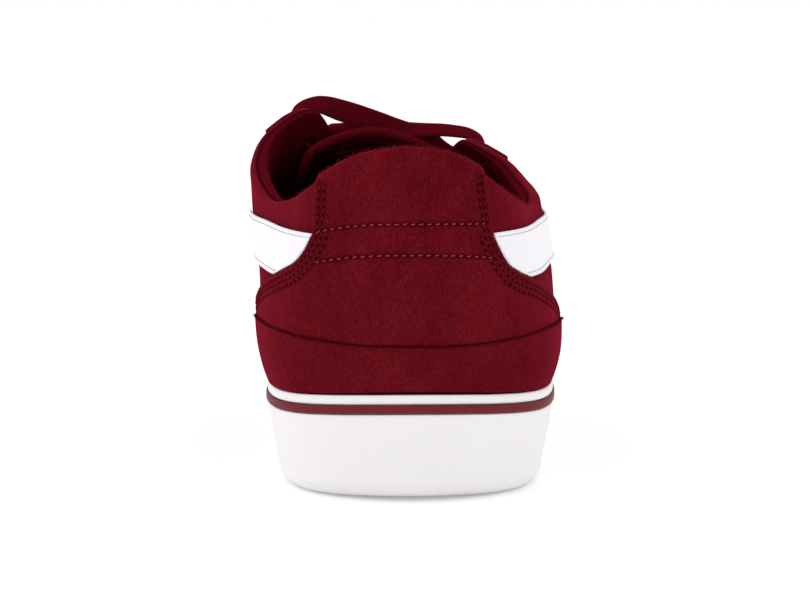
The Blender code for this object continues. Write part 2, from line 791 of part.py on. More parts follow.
def make_counter(material, collection):
    """The heel counter with its tab, whose upper edge drops to the wings just past the tab's corners."""
    steps = list(CORNER_STEPS) + spread(CORNER_STEPS[-1], COUNTER_END - TAB_EDGE, WING_COLUMNS)[1:]
    wing = [TAB_EDGE + step for step in steps]
    tab = signed_stations(TAB_EDGE, PANEL_STEP)
    columns = []
    for s in [-s for s in wing[::-1]] + tab + wing:
        low = seam_way_up(s) + 2 * SEAM_GAP / (surface(s, 1) - surface(s, 0)).length
        high = counter_top(s)
        if abs(s) <= TAB_EDGE:
            bend = way_up_at_height(s, COUNTER_TOP[side_of(s)](TAB_EDGE))
            ways_up = spread(low, bend, 4) + spread(bend, high, 3)[1:]
        else:
            ways_up = spread(low, high, 7)
        columns.append([(s, v) for v in ways_up])
    return panel("heel_counter", columns, GAP, OVERLAY_WALL, material, collection)


STAY_WIDTH = 0.0210
STAY_START = STATION["collar front"]
STAY_END = THROAT_END - 0.25
STAY_FOOT_WIDTH = 0.0130
STAY_EDGE = 0.0006
STAY_GAP = 0.0005
STAY_TAPER = 2.0
STAY_SLANT = 1.3
STAY_ROWS = 3


def make_stay(name, side, material, collection, cutters):
    """The eyestay along one side of the throat, from the collar to the throat's end."""
    columns = []
    for s in spread(STAY_START, STAY_END, round((STAY_END - STAY_START) / PANEL_STEP)):
        narrow = min(max(1 - (THROAT_END - s) / STAY_TAPER, 0), 1)
        width = STAY_WIDTH + (STAY_FOOT_WIDTH - STAY_WIDTH) * narrow
        column = []
        for distance in spread(width, STAY_EDGE, STAY_ROWS):
            # The back edge slants, so that its lower corner stands further forward
            slant = STAY_SLANT * (distance - STAY_EDGE) / width * (STAY_END - s) / (STAY_END - STAY_START)
            column.append((side * (s + slant), way_up_from_rim(side * (s + slant), distance)))
        columns.append(column)
    stay = panel(name, columns, STAY_GAP, OVERLAY_WALL, material, collection)
    cut(stay, cutters)
    return stay


BAND_END = STATION["collar rise"] - 0.1
BAND_CLEARANCE = 0.0016
BAND_GAP = 0.0007
BAND_SETBACK = 0.06
WING_STEP = 0.02


def make_band(name, side, material, collection):
    """A plain level band on the quarter, which starts at the counter's edge."""
    rows = []
    for i in range(5):
        height = BAND_HEIGHT - BAND_WIDTH / 2 + BAND_WIDTH * i / 4
        start = TAB_EDGE + CORNER_STEPS[0]
        while start < COUNTER_END and COUNTER_TOP[side](start) + BAND_CLEARANCE > height:
            start += WING_STEP
        start += BAND_SETBACK
        rows.append([(side * s, way_up_at_height(side * s, height)) for s in spread(start, BAND_END, 8)])
    return panel(name, list(zip(*rows)), BAND_GAP, BAND_WALL, material, collection)


# Eyelets, tongue and laces

FIRST_EYELET = 0.612
LAST_EYELET = 0.403


def station_at_forward(forward):
    low, high = 0.0, float(LAST_STATION)
    for _ in range(40):
        middle = (low + high) / 2
        if forward_at(middle) < forward:
            low = middle
        else:
            high = middle
    return (low + high) / 2


def eyelet(side, number):
    """The station and way up of an eyelet; number 0 is the one nearest the toe."""
    share = number / (EYELET_PAIRS - 1)
    station = station_at_forward(FIRST_EYELET + (LAST_EYELET - FIRST_EYELET) * share)
    inset = EYELET_INSET if number else 0.8 * EYELET_INSET
    return side * station, way_up_from_rim(side * station, inset)


def make_eyelet_cutters(material, cutters):
    for side in (-1, 1):
        for number in range(EYELET_PAIRS):
            s, v = eyelet(side, number)
            centre, axis = placed(surface(s, v)), normal(s, v)
            bm = bmesh.new()
            bmesh.ops.create_cone(
                bm, segments=8, radius1=EYELET_RADIUS, radius2=EYELET_RADIUS, depth=EYELET_DRILL, cap_ends=True
            )
            made = make_object(f"eyelet_{side}_{number}", bm, material, cutters)
            made.data.transform(axis.to_track_quat("Z", "Y").to_matrix().to_4x4())
            made.location = centre
            made.hide_render = True
            made.display_type = "WIRE"


def tongue_row(station):
    """Five points across the tongue's outer face at a station of the throat."""
    points = []
    for side in (-1, 1):
        s = side * station
        far = way_up_from_rim(s, TONGUE_SPREAD)
        wing = surface(s, far) - normal(s, far) * (wall_at(s, far) + TONGUE_CLEARANCE)
        edge = surface(s, 0.985) - normal(s, 0.95) * (wall_at(s, 1.0) + TONGUE_CLEARANCE)
        points.append((wing, edge))
    (left_wing, left_edge), (right_wing, right_edge) = points
    middle = (left_edge + right_edge) / 2 - Vector((0, 0, TONGUE_DROP))
    return [left_wing, left_edge, middle, right_edge, right_wing]


def tongue_rows():
    top_forward = TONGUE_TOP_FORWARD * SOLE_LENGTH
    half = HEEL_WIDTH / 2
    top = [Vector((p.side * half, top_forward, p.up * BACK_HEIGHT)) for p in TONGUE_TOP_ROWS]
    first = STAY_CORNER + 0.35
    last = THROAT_END - 0.15
    rows = [tongue_row(s) for s in spread(first, last, 6)]
    for number, share in enumerate(TONGUE_CURL):
        # Near its free end the tongue leaves the stays and follows its own top edge
        dip = TONGUE_DIP * (number + 1)
        edge = [Vector((q.x, p.y, min(p.z, q.z - dip))) for p, q in zip(rows[number], top)]
        rows[number] = [p.lerp(q, share) for p, q in zip(rows[number], edge)]
    between = [a.lerp(b, 0.5) for a, b in zip(top, rows[0])]
    foot_shift = Vector((0, (TONGUE_FOOT_FORWARD - forward_at(last)) * SOLE_LENGTH, -TONGUE_FOOT_DROP))
    foot = [p + foot_shift for p in rows[-1]]
    return [top, between] + rows + [foot]


def across(points, share):
    """A smooth curve across five points."""
    knots = range(len(points))
    at = share * (len(points) - 1)
    return Vector([through(knots, [p[axis] for p in points])(at) for axis in range(3)])


TONGUE_COLUMNS = 10


def tongue_faces():
    """The tongue's outer and inner grids."""
    rows = tongue_rows()
    outer = [[across(row, i / TONGUE_COLUMNS) for i in range(TONGUE_COLUMNS + 1)] for row in rows]
    inner = []
    for r, row in enumerate(outer):
        before, after = outer[max(r - 1, 0)], outer[min(r + 1, len(outer) - 1)]
        line = []
        for i, point in enumerate(row):
            sideways = row[min(i + 1, TONGUE_COLUMNS)] - row[max(i - 1, 0)]
            along = after[i] - before[i]
            down = sideways.cross(along).normalized()
            if down.z > 0:
                down = -down
            crown = 1 - abs(2 * i / TONGUE_COLUMNS - 1) ** 2.5
            foot = 0.55 if r >= len(outer) - 2 else 1.0
            line.append(point + down * (TONGUE_EDGE + (TONGUE_PADDING - TONGUE_EDGE) * crown * foot))
        inner.append(line)
    return outer, inner


def make_tongue(material, collection):
    bm = bmesh.new()
    outer, inner = tongue_faces()
    rings = [a + b[::-1] for a, b in zip(outer, inner)]
    made = add_rings(bm, rings)
    count = TONGUE_COLUMNS + 1
    for ring in (made[0], made[-1]):
        for i in range(count - 1):
            bm.faces.new((ring[i], ring[i + 1], ring[-i - 2], ring[-i - 1]))
    return make_object("tongue", bm, material, collection)


def tongue_top_at(station, share):
    row = tongue_row(station)
    return across(row, share)


LACE_LIFT = 0.0014
LACE_ARCH = 0.0014
EDGE_LIFT = 0.0024
TOP_START_LIFT = 0.0016
LACE_STEPS = 8
LOOP_STEPS = 15
STRAND_START = 0.16
RIM_OVERHANG = 0.0045
LACE_ABOVE = STAY_GAP + OVERLAY_WALL + GAP + LACE_THICKNESS / 2


def loop_point(point):
    """A point of the top crossing and the way that the lace's face looks there."""
    tilt, lean = math.radians(point.tilt), math.copysign(math.radians(point.lean), point.side)
    place = Vector((point.side * HEEL_WIDTH / 2, point.forward * SOLE_LENGTH, point.up * INSTEP_HEIGHT))
    upwards = math.cos(lean)
    return place, Vector((math.sin(lean), -math.sin(tilt) * upwards, math.cos(tilt) * upwards))


def lace_route(side, number):
    """A strand's points and the way up at each, from the gap at the other side over this side's edge."""
    s_high, _ = eyelet(side, number)
    s_low, _ = eyelet(-side, number - 1)
    near, far = abs(s_high), abs(s_low)
    clear = LACE_THICKNESS / 2 + LACE_LIFT
    up = (normal(near, 1.0) + normal(-near, 1.0)).normalized()
    start = tongue_top_at(0.4 * near + 0.6 * far, 0.5 - STRAND_START * side) + up * clear
    middle = tongue_top_at((near + far) / 2, 0.5) + up * (clear + LACE_ARCH)
    end_up = way_up_from_rim(s_high, EYELET_INSET - 1.2 * EYELET_RADIUS)
    end = (lifted(s_high, end_up, LACE_ABOVE), normal(s_high, end_up))
    if number == EYELET_PAIRS - 1:
        loop = [loop_point(point) for point in (TOP_CROSSING, *TOP_LOOPS[side])]
        return [(start + up * TOP_START_LIFT, up), *loop, end]
    edge_station = side * (0.85 * near + 0.15 * far)
    edge = lifted(edge_station, 0.97, LACE_ABOVE + EDGE_LIFT)
    inside = edge + (middle - edge).normalized() * RIM_OVERHANG
    inside.z = edge.z
    return [
        (start, up),
        (middle, up),
        (inside, (up + normal(edge_station, 0.97)).normalized()),
        (edge, normal(edge_station, 0.97)),
        end,
    ]


def make_strand(name, route, material, collection):
    """A flat ribbon along a smooth route."""
    bm = bmesh.new()
    knots = range(len(route))
    curves = [through(knots, [point[axis] for point, _ in route]) for axis in range(3)]
    tilts = [through(knots, [way_up[axis] for _, way_up in route]) for axis in range(3)]
    steps = spread(0, len(route) - 1, LACE_STEPS if len(route) < 6 else LOOP_STEPS)
    line = [(Vector([c(t) for c in curves]), Vector([c(t) for c in tilts])) for t in steps]
    rings = []
    for i, (point, way_up) in enumerate(line):
        along = (line[min(i + 1, len(line) - 1)][0] - line[max(i - 1, 0)][0]).normalized()
        sideways = along.cross(way_up).normalized()
        up = sideways.cross(along).normalized()
        half, thick = LACE_WIDTH / 2, LACE_THICKNESS / 2
        corners = ((-1, 0), (-0.8, 1), (0.8, 1), (1, 0), (0.8, -1), (-0.8, -1))
        rings.append([point + sideways * half * a + up * thick * b for a, b in corners])
    made = add_rings(bm, rings)
    bm.faces.new(made[0])
    bm.faces.new(made[-1])
    return make_object(name, bm, material, collection)


def make_laces(material, collection, cutters):
    """Each crossing is two strands joined where they cross; the lowest bar runs straight across."""
    ends = []
    for side in (-1, 1):
        s, _ = eyelet(side, 0)
        v = way_up_from_rim(s, 0.8 * EYELET_INSET - 1.2 * EYELET_RADIUS)
        ends.append((lifted(s, v, LACE_ABOVE + LACE_LIFT), normal(s, v)))
    (left, left_up), (right, right_up) = ends
    middle = (left + right) / 2 + Vector((0, 0, LACE_LIFT))
    make_strand("lace_bar", [ends[0], (middle, (left_up + right_up).normalized()), ends[1]], material, collection)
    for number in range(1, EYELET_PAIRS):
        first = make_strand(f"lace_cross_{number}", lace_route(-1, number), material, collection)
        second = make_strand(f"lace_other_{number}", lace_route(1, number), material, cutters)
        join = first.modifiers.new("join", "BOOLEAN")
        join.operation = "UNION"
        join.solver = "EXACT"
        join.object = second
        mesh_from(first)
        bpy.data.objects.remove(second)


# The whole shoe

def main():
    for old in list(bpy.data.objects):
        bpy.data.objects.remove(old)
    shoe = bpy.data.collections.new("skate_shoe")
    bpy.context.scene.collection.children.link(shoe)
    slots = bpy.data.collections.new("tread_cutters")
    holes = bpy.data.collections.new("eyelet_cutters")
    for helpers in (slots, holes):
        bpy.context.scene.collection.children.link(helpers)
        helpers.hide_render = True

    rubber = make_material("white_rubber", (0.86, 0.85, 0.85), 0.55)
    red_rubber = make_material("red_rubber", (0.22, 0.018, 0.03), 0.45)
    suede = make_material("maroon_suede", (0.24, 0.010, 0.022), 0.95)
    leather = make_material("white_leather", (0.85, 0.85, 0.87), 0.45)
    lining = make_material("maroon_lining", (0.10, 0.006, 0.012), 0.95)
    lace = make_material("maroon_lace", (0.13, 0.007, 0.014), 0.9)

    make_cupsole(rubber, shoe, slots)
    make_stripe(red_rubber, shoe)
    make_insole(lining, shoe)
    make_eyelet_cutters(suede, holes)
    upper = make_upper(suede, shoe)
    cut(upper, holes)
    make_foxing(suede, shoe)
    make_counter(suede, shoe)
    for name, side in (("medial", -1), ("lateral", 1)):
        make_stay(f"eyestay_{name}", side, suede, shoe, holes)
        make_band(f"side_band_{name}", side, leather, shoe)
    make_tongue(suede, shoe)
    make_laces(lace, shoe, holes)


main()
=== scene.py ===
# A low skateboarding shoe for the right foot: its looks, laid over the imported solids
import math
import random

import bmesh
import bpy
import numpy as np
from mathutils import Matrix, Vector, kdtree, noise
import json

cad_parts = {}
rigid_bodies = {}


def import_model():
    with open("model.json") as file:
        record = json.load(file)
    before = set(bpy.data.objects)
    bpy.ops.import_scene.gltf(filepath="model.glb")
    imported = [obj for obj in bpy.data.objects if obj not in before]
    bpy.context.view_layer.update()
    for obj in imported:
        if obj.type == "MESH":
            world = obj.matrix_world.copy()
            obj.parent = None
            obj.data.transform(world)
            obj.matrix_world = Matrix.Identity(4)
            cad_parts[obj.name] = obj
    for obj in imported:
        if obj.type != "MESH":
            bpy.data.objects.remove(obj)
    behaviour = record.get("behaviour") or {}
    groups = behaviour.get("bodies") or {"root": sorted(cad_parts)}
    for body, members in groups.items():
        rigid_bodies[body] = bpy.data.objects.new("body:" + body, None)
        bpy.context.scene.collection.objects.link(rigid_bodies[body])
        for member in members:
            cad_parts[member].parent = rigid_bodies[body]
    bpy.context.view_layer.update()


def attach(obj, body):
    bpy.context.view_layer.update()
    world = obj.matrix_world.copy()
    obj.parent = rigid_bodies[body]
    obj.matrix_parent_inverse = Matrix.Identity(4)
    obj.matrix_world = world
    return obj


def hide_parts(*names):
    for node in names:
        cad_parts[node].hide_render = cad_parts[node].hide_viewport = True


for old in list(bpy.data.objects):
    bpy.data.objects.remove(old)
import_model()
print("frame loaded")

# the shoe's own form, in the sizes of its source; metres, heel at the back, medial side towards -x
form = {
    "soleLength": 0.300,
    "heelHalf": 0.0415,
    "ballHalf": 0.0525,
    "wallHeight": 0.0296,
    "toeSpring": 0.0110,
    "springStart": 0.66,
    "heelBevel": 0.0026,
    "bevelEnd": 0.085,
    "wallTaper": 0.0038,
    "footRadius": 0.0040,
    "heelFootRadius": 0.0062,
    "heelFootShare": 0.16,
    "lipWall": 0.0020,
    "cupWall": 0.0045,
    "heelSlab": 0.0130,
    "ballSlab": 0.0085,
    "backHeight": 0.0980,
    "upperWall": 0.0024,
    "collarPadding": 0.0060,
    "crestRise": 0.30,
    "gap": 0.0003,
}
heights = {"back": 0.0980, "ankle": 0.0800, "instep": 0.1052, "throat": 0.0680, "toe": 0.0560}
halves = {"heel": form["heelHalf"], "ball": form["ballHalf"]}

# the sole's outline: forward, size, medial, lateral
outlineRows = [
    (0.0093, "heel", 0.386, 0.390),
    (0.0300, "heel", 0.675, 0.685),
    (0.0650, "heel", 0.892, 0.905),
    (0.1200, "heel", 1.000, 1.014),
    (0.2000, "heel", 0.964, 1.024),
    (0.2830, "heel", 0.916, 1.000),
    (0.3670, "heel", 0.916, 1.024),
    (0.4670, "ball", 0.781, 0.876),
    (0.5670, "ball", 0.876, 0.962),
    (0.6500, "ball", 0.952, 1.010),
    (0.7200, "ball", 0.990, 1.000),
    (0.8000, "ball", 0.971, 0.914),
    (0.8730, "ball", 0.886, 0.743),
    (0.9350, "ball", 0.724, 0.495),
    (0.9800, "ball", 0.476, 0.190),
]
toeTipSide = -0.152

# the upper's sections, from the back to the toe tip: around, forward, width, height,
# medial side, up and lean, lateral side, up and lean, flare, fullness, padding
sectionRows = [
    (0.000, 0.0083, "heel", "back", -0.060, 1.000, 84, -0.060, 1.000, 84, 8, 0.40, 1.0),
    (0.040, 0.0127, "heel", "back", -0.360, 0.977, 84, 0.229, 0.985, 84, 14, 0.40, 1.0),
    (0.080, 0.0283, "heel", "back", -0.618, 0.918, 84, 0.458, 0.938, 83, 20, 0.40, 1.0),
    (0.135, 0.0767, "heel", "ankle", -0.825, 1.038, 85, 0.735, 1.040, 82, 24, 0.40, 1.0),
    (0.195, 0.1570, "heel", "ankle", -1.000, 0.998, 88, 0.910, 0.974, 82, 25, 0.40, 1.0),
    (0.255, 0.2130, "heel", "ankle", -1.118, 1.047, 94, 0.975, 1.003, 78, 23, 0.40, 0.95),
    (0.310, 0.2700, "heel", "instep", -1.162, 0.847, 91, 0.922, 0.800, 68, 20, 0.42, 0.75),
    (0.355, 0.3170, "heel", "instep", -1.092, 0.919, 74, 0.798, 0.851, 56, 18, 0.44, 0.40),
    (0.390, 0.3530, "heel", "instep", -0.905, 0.978, 54, 0.615, 0.892, 46, 16, 0.45, 0.10),
    (0.412, 0.3730, "heel", "instep", -0.745, 1.000, 42, 0.500, 0.905, 40, 15, 0.46, 0.0),
    (0.435, 0.3930, "heel", "instep", -0.655, 0.972, 39, 0.430, 0.885, 38, 15, 0.47, 0.0),
    (0.485, 0.4530, "heel", "instep", -0.542, 0.872, 34, 0.301, 0.810, 34, 14, 0.49, 0.0),
    (0.545, 0.5200, "heel", "instep", -0.458, 0.777, 30, 0.229, 0.734, 30, 14, 0.50, 0.0),
    (0.600, 0.5800, "heel", "throat", -0.386, 1.075, 26, 0.169, 1.040, 26, 14, 0.51, 0.0),
    (0.638, 0.6180, "heel", "throat", -0.289, 1.020, 18, 0.090, 1.008, 18, 14, 0.52, 0.0),
    (0.664, 0.6330, "ball", "throat", -0.080, 1.000, 6, -0.080, 1.000, 6, 14, 0.53, 0.0),
    (0.705, 0.6800, "ball", "throat", -0.088, 0.947, 0, -0.088, 0.947, 0, 14, 0.54, 0.0),
    (0.750, 0.7300, "ball", "throat", -0.100, 0.907, 0, -0.100, 0.907, 0, 14, 0.55, 0.0),
    (0.797, 0.7800, "ball", "toe", -0.114, 1.068, 0, -0.114, 1.068, 0, 14, 0.55, 0.0),
    (0.847, 0.8230, "ball", "toe", -0.130, 1.042, 0, -0.130, 1.042, 0, 12, 0.55, 0.0),
    (0.898, 0.8550, "ball", "toe", -0.142, 1.018, 0, -0.142, 1.018, 0, 10, 0.55, 0.0),
    (0.949, 0.8790, "ball", "toe", -0.150, 0.998, 0, -0.150, 0.998, 0, 8, 0.55, 0.0),
    (1.000, 0.8930, "ball", "toe", -0.155, 0.985, 0, -0.155, 0.985, 0, 7, 0.55, 0.0),
]
tabEdge, ankleFront, stayCorner, throatEnd, toeTip = 2, 5, 9, 15, 22
wallRows = [(0.00, 0.990), (0.20, 1.000), (0.45, 0.940), (0.70, 0.925), (1.00, 0.880)]
paddingRows = [(0.00, 0.10), (0.35, 0.25), (0.70, 0.85), (0.88, 1.00), (1.00, 0.62)]
# shares of the back height: station, medial, lateral
seamRows = [
    (0, 0.462, 0.462),
    (1, 0.466, 0.464),
    (2, 0.478, 0.474),
    (3, 0.492, 0.486),
    (4, 0.490, 0.474),
    (5, 0.455, 0.440),
    (6, 0.395, 0.385),
    (7, 0.340, 0.335),
]
wingRows = [
    (2.0, 0.775, 0.765),
    (2.2, 0.722, 0.685),
    (2.4, 0.688, 0.656),
    (2.8, 0.653, 0.622),
    (3.4, 0.606, 0.563),
    (4.0, 0.548, 0.507),
    (5.0, 0.500, 0.478),
]


def closedSpline(points):
    values = np.array(points, float)
    count = len(values)
    lengths = np.linalg.norm(np.roll(values, -1, 0) - values, axis=1)
    matrix = np.zeros((count, count))
    right = np.zeros(values.shape)
    for i in range(count):
        before, after, j = lengths[i - 1], lengths[i], (i + 1) % count
        matrix[i, i - 1] += before
        matrix[i, i] += 2 * (before + after)
        matrix[i, j] += after
        right[i] = 6 * ((values[j] - values[i]) / after - (values[i] - values[i - 1]) / before)
    bend = np.linalg.solve(matrix, right)

    def at(knot):
        knot = np.asarray(knot, float)
        i = np.floor(knot).astype(int) % count
        j = (i + 1) % count
        h = lengths[i]
        b = (knot - np.floor(knot)) * h
        a = h - b
        cubic = (bend[i].T * a**3 + bend[j].T * b**3) / (6 * h)
        return (cubic + (values[i].T / h - bend[i].T * h / 6) * a + (values[j].T / h - bend[j].T * h / 6) * b).T

    return at


def through(knots, values):
    x, y = np.array(knots, float), np.array(values, float)
    steps, spans = np.diff(y) / np.diff(x), np.diff(x)
    inner = (steps[:-1] * spans[1:] + steps[1:] * spans[:-1]) / (spans[:-1] + spans[1:])
    slopes = np.concatenate([steps[:1], inner, steps[-1:]])

    def at(value):
        value = np.clip(value, x[0], x[-1])
        i = np.clip(np.searchsorted(x, value, side="right") - 1, 0, len(x) - 2)
        h = x[i + 1] - x[i]
        t = (value - x[i]) / h
        ease = y[i] * (1 + 2 * t) * (1 - t) ** 2 + y[i + 1] * t * t * (3 - 2 * t)
        return ease + h * t * (1 - t) * (slopes[i] * (1 - t) - slopes[i + 1] * t)

    return at


def smooth(share):
    share = np.clip(share, 0, 1)
    return share * share * (3 - 2 * share)


def runAlong(places):  # the length run at each point of a line
    return np.concatenate([[0], np.cumsum(np.linalg.norm(np.diff(places, axis=0), axis=1))])


def alongRun(distance, run, values):
    return np.array([np.interp(distance, run, values[:, axis]) for axis in range(3)])


def curveThrough(knots, values, at):
    return np.stack([through(knots, values[:, axis])(at) for axis in range(3)], -1)


outlineLateral = [(row[3] * halves[row[1]], row[0] * form["soleLength"]) for row in outlineRows]
outlineMedial = [(-row[2] * halves[row[1]], row[0] * form["soleLength"]) for row in outlineRows]
toePoint = (toeTipSide * halves["ball"], form["soleLength"])
outline = closedSpline([(0.0, 0.0)] + outlineLateral + [toePoint] + outlineMedial[::-1])
tipKnot = len(outlineRows) + 1
edgePoints = outline(np.linspace(0, 2 * tipKnot, 2 * tipKnot * 40))
middle = np.append((edgePoints.max(0) + edgePoints.min(0)) / 2, 0.0)


def knotsByLength(side):
    knots = np.linspace(0, tipKnot, tipKnot * 40 + 1)
    if side < 0:
        knots = 2 * tipKnot - knots
    lengths = runAlong(outline(knots))
    return lengths / lengths[-1], knots


aroundKnots = {side: knotsByLength(side) for side in (-1, 1)}


def outlineAt(knot, inset=0.0):
    point = outline(knot).T
    ahead = (outline(np.asarray(knot) + 0.02) - outline(np.asarray(knot) - 0.02)).T
    length = np.hypot(ahead[0], ahead[1])
    nx, ny = ahead[1] / length, -ahead[0] / length
    return point[0] - nx * inset, point[1] - ny * inset, nx, ny


wallShare = through(*zip(*wallRows))


def ground(y):
    share = np.asarray(y, float) / form["soleLength"]
    heel = form["heelBevel"] * (np.clip(form["bevelEnd"] - share, 0, 1) / form["bevelEnd"]) ** 2
    toe = form["toeSpring"] * (np.clip(share - form["springStart"], 0, 1) / 0.34) ** 1.8
    return heel + toe


def lipTop(y):
    return ground(y) + form["wallHeight"] * wallShare(np.asarray(y) / form["soleLength"])


def cupFloor(y):
    y = np.asarray(y, float)
    ease = smooth((y / form["soleLength"] - 0.15) / 0.50)
    lift = np.where(y > form["soleLength"] / 2, ground(y), 0.0)
    return lift + form["heelSlab"] + (form["ballSlab"] - form["heelSlab"]) * ease


def cupInset(z, y):
    share = np.clip((lipTop(y) - z) / (lipTop(y) - cupFloor(y)), 0, 1)
    return form["lipWall"] + (form["cupWall"] - form["lipWall"]) * share


stations = list(range(len(sectionRows)))
aroundAt, forwardAt, flareAt, fullnessAt, paddingAt = (
    through(stations, [row[place] for row in sectionRows]) for place in (0, 1, 10, 11, 12)
)
paddingUp = through(*zip(*paddingRows))
rims = {}
for side, first in ((-1, 4), (1, 7)):
    rims[side] = (
        through(stations, [row[first] * halves[row[2]] for row in sectionRows]),
        through(stations, [row[first + 1] * heights[row[3]] for row in sectionRows]),
        through(stations, [row[first + 2] for row in sectionRows]),
    )


def rimPoint(side, station):
    return np.array([rims[side][0](station), forwardAt(station) * form["soleLength"], rims[side][1](station)])


sectionCache = {}


def section(signed):
    key = round(float(signed), 5)
    if key in sectionCache:
        return sectionCache[key]
    side, station = (-1 if key < 0 else 1), abs(key)
    shares, knots = aroundKnots[side]
    knot = float(np.interp(aroundAt(station), shares, knots))
    x, y, nx, ny = outlineAt(knot, form["lipWall"] + form["gap"])
    foot = np.array([x, y, lipTop(y)])
    top = rimPoint(side, station)
    if station > throatEnd:
        top = (rimPoint(1, station) + rimPoint(-1, station)) / 2
    out, up = np.array([nx, ny, 0]), np.array([0, 0, 1])
    flare, lean = math.radians(flareAt(station)), math.radians(rims[side][2](station))
    rising = up * math.cos(flare) + out * math.sin(flare)
    falling = out * math.cos(lean) - up * math.sin(lean)
    if station > throatEnd - 1:  # on the closed vamp a section leaves the ridge along the ridge's own slope
        share = min(station - throatEnd + 1, 1)
        before, after = rimPoint(side, station - 0.2), rimPoint(side, min(station + 0.2, toeTip))
        slope = (after[2] - before[2]) / max(after[1] - before[1], 1e-6)
        falling[2] += share * slope * ny * math.cos(lean)
    fullness = fullnessAt(station)
    low = foot + rising * fullness * np.dot(top - foot, rising)
    high = top + falling * fullness * np.dot(foot - top, falling)
    sectionCache[key] = (foot, low, high, top, outlineAt(knot))
    return sectionCache[key]


def skinRow(station, ways):
    foot, low, high, top, edge = section(station)
    v = np.clip(ways, 0, 1)[:, None]
    w = 1 - v
    points = foot * w**3 + low * (3 * w * w * v) + high * (3 * w * v * v) + top * v**3
    below = ways < 0
    if below.any():
        z = foot[2] + (foot[2] - cupFloor(foot[1]) - form["gap"]) * ways[below]
        inset = cupInset(z, foot[1]) + form["gap"]
        points[below] = np.stack([edge[0] - edge[2] * inset, edge[1] - edge[3] * inset, z], 1)
    return points


def unit(vectors):
    return vectors / np.maximum(np.linalg.norm(vectors, axis=-1, keepdims=True), 1e-12)


def normalRow(station, ways, step=0.02):
    v = np.clip(ways, 0, 1)
    before, after = max(station - step, -toeTip), min(station + step, toeTip)
    up = skinRow(station, np.minimum(v + step, 1)) - skinRow(station, np.maximum(v - step, 0))
    out = unit(np.cross(skinRow(after, v) - skinRow(before, v), up))
    if abs(station) >= throatEnd:  # both sides share the ridge, so they share its normal
        other = np.minimum(v + step, 1) >= 1
        if other.any():
            upThere = skinRow(-station, np.ones(other.sum())) - skinRow(-station, v[other] - step)
            alongThere = skinRow(-before, v[other]) - skinRow(-after, v[other])
            there = unit(np.cross(alongThere, upThere))
            share = smooth((v[other] - 1 + step) / step)[:, None]
            out[other] = unit(out[other] + there * share)
    return out


# soft folds where the shoe bends: forward share, bow, half width, depth, lowest and highest height
creases = [
    (0.700, 0.010, 0.0045, -0.0009, 0.030, 0.080),
    (0.726, 0.006, 0.0060, 0.0005, 0.032, 0.080),
    (0.752, 0.002, 0.0045, -0.0007, 0.030, 0.080),
    (0.300, -0.030, 0.0080, -0.0006, 0.045, 0.075),
    (0.385, -0.060, 0.0090, -0.0005, 0.040, 0.080),
]
unevenness = [(0.00016, 55), (0.00010, 140)]  # depth and scale


def relief(points):
    offsets = np.array([sum(depth * noise.noise(Vector(p) * scale) for depth, scale in unevenness) for p in points])
    for forward, bow, width, depth, low, high in creases:
        lean = bow * ((points[:, 0] / form["ballHalf"]) ** 2 + 0.4 * np.sin(points[:, 2] * 90))
        away = (points[:, 1] - (forward + lean) * form["soleLength"]) / width
        inside = smooth((points[:, 2] - low) / 0.012) * smooth((high - points[:, 2]) / 0.012)
        offsets += depth * np.exp(-(away**2)) * inside
    return offsets


def skin(station, ways, lift=0.0):
    ways = np.asarray(ways, float)
    points = skinRow(station, ways)
    return points + normalRow(station, ways) * (lift + relief(points))[:, None]


def skinPoint(station, way, lift=0.0):
    return skin(station, np.array([way]), lift)[0]


def normalPoint(station, way):
    return normalRow(station, np.array([way]))[0]


def wallAt(station, ways):
    ways = np.asarray(ways, float)
    return form["upperWall"] + form["collarPadding"] * paddingAt(abs(station)) * paddingUp(ways) * (ways > -0.01)


def wayAtHeight(station, height):
    low, high = 0.0, 1.0
    for _ in range(24):
        between = (low + high) / 2
        if skinRow(station, np.array([between]))[0][2] < height:
            low = between
        else:
            high = between
    return (low + high) / 2


def wayFromRim(station, distance):
    ways = np.linspace(1, 0, 121)
    return float(np.interp(distance, runAlong(skinRow(station, ways)), ways))


def sideOf(station):
    return -1 if station < 0 else 1


def heightsAlong(rows):  # for each side, the height at a station
    knots = [row[0] for row in rows]
    highs = {side: [row[place] * form["backHeight"] for row in rows] for side, place in ((-1, 1), (1, 2))}
    return {side: through(knots, highs[side]) for side in highs}


seamHeight, wingHeight = heightsAlong(seamRows), heightsAlong(wingRows)


# materials
napTint = (0.80, 0.05, 0.13)
shaderSockets = {
    "colour": "Base Color",
    "roughness": "Roughness",
    "specular": "Specular IOR Level",
    "sheen": "Sheen Weight",
    "sheenSpread": "Sheen Roughness",
    "sheenTint": "Sheen Tint",
    "normal": "Normal",
    "glow": "Emission Color",
    "glowStrength": "Emission Strength",
}


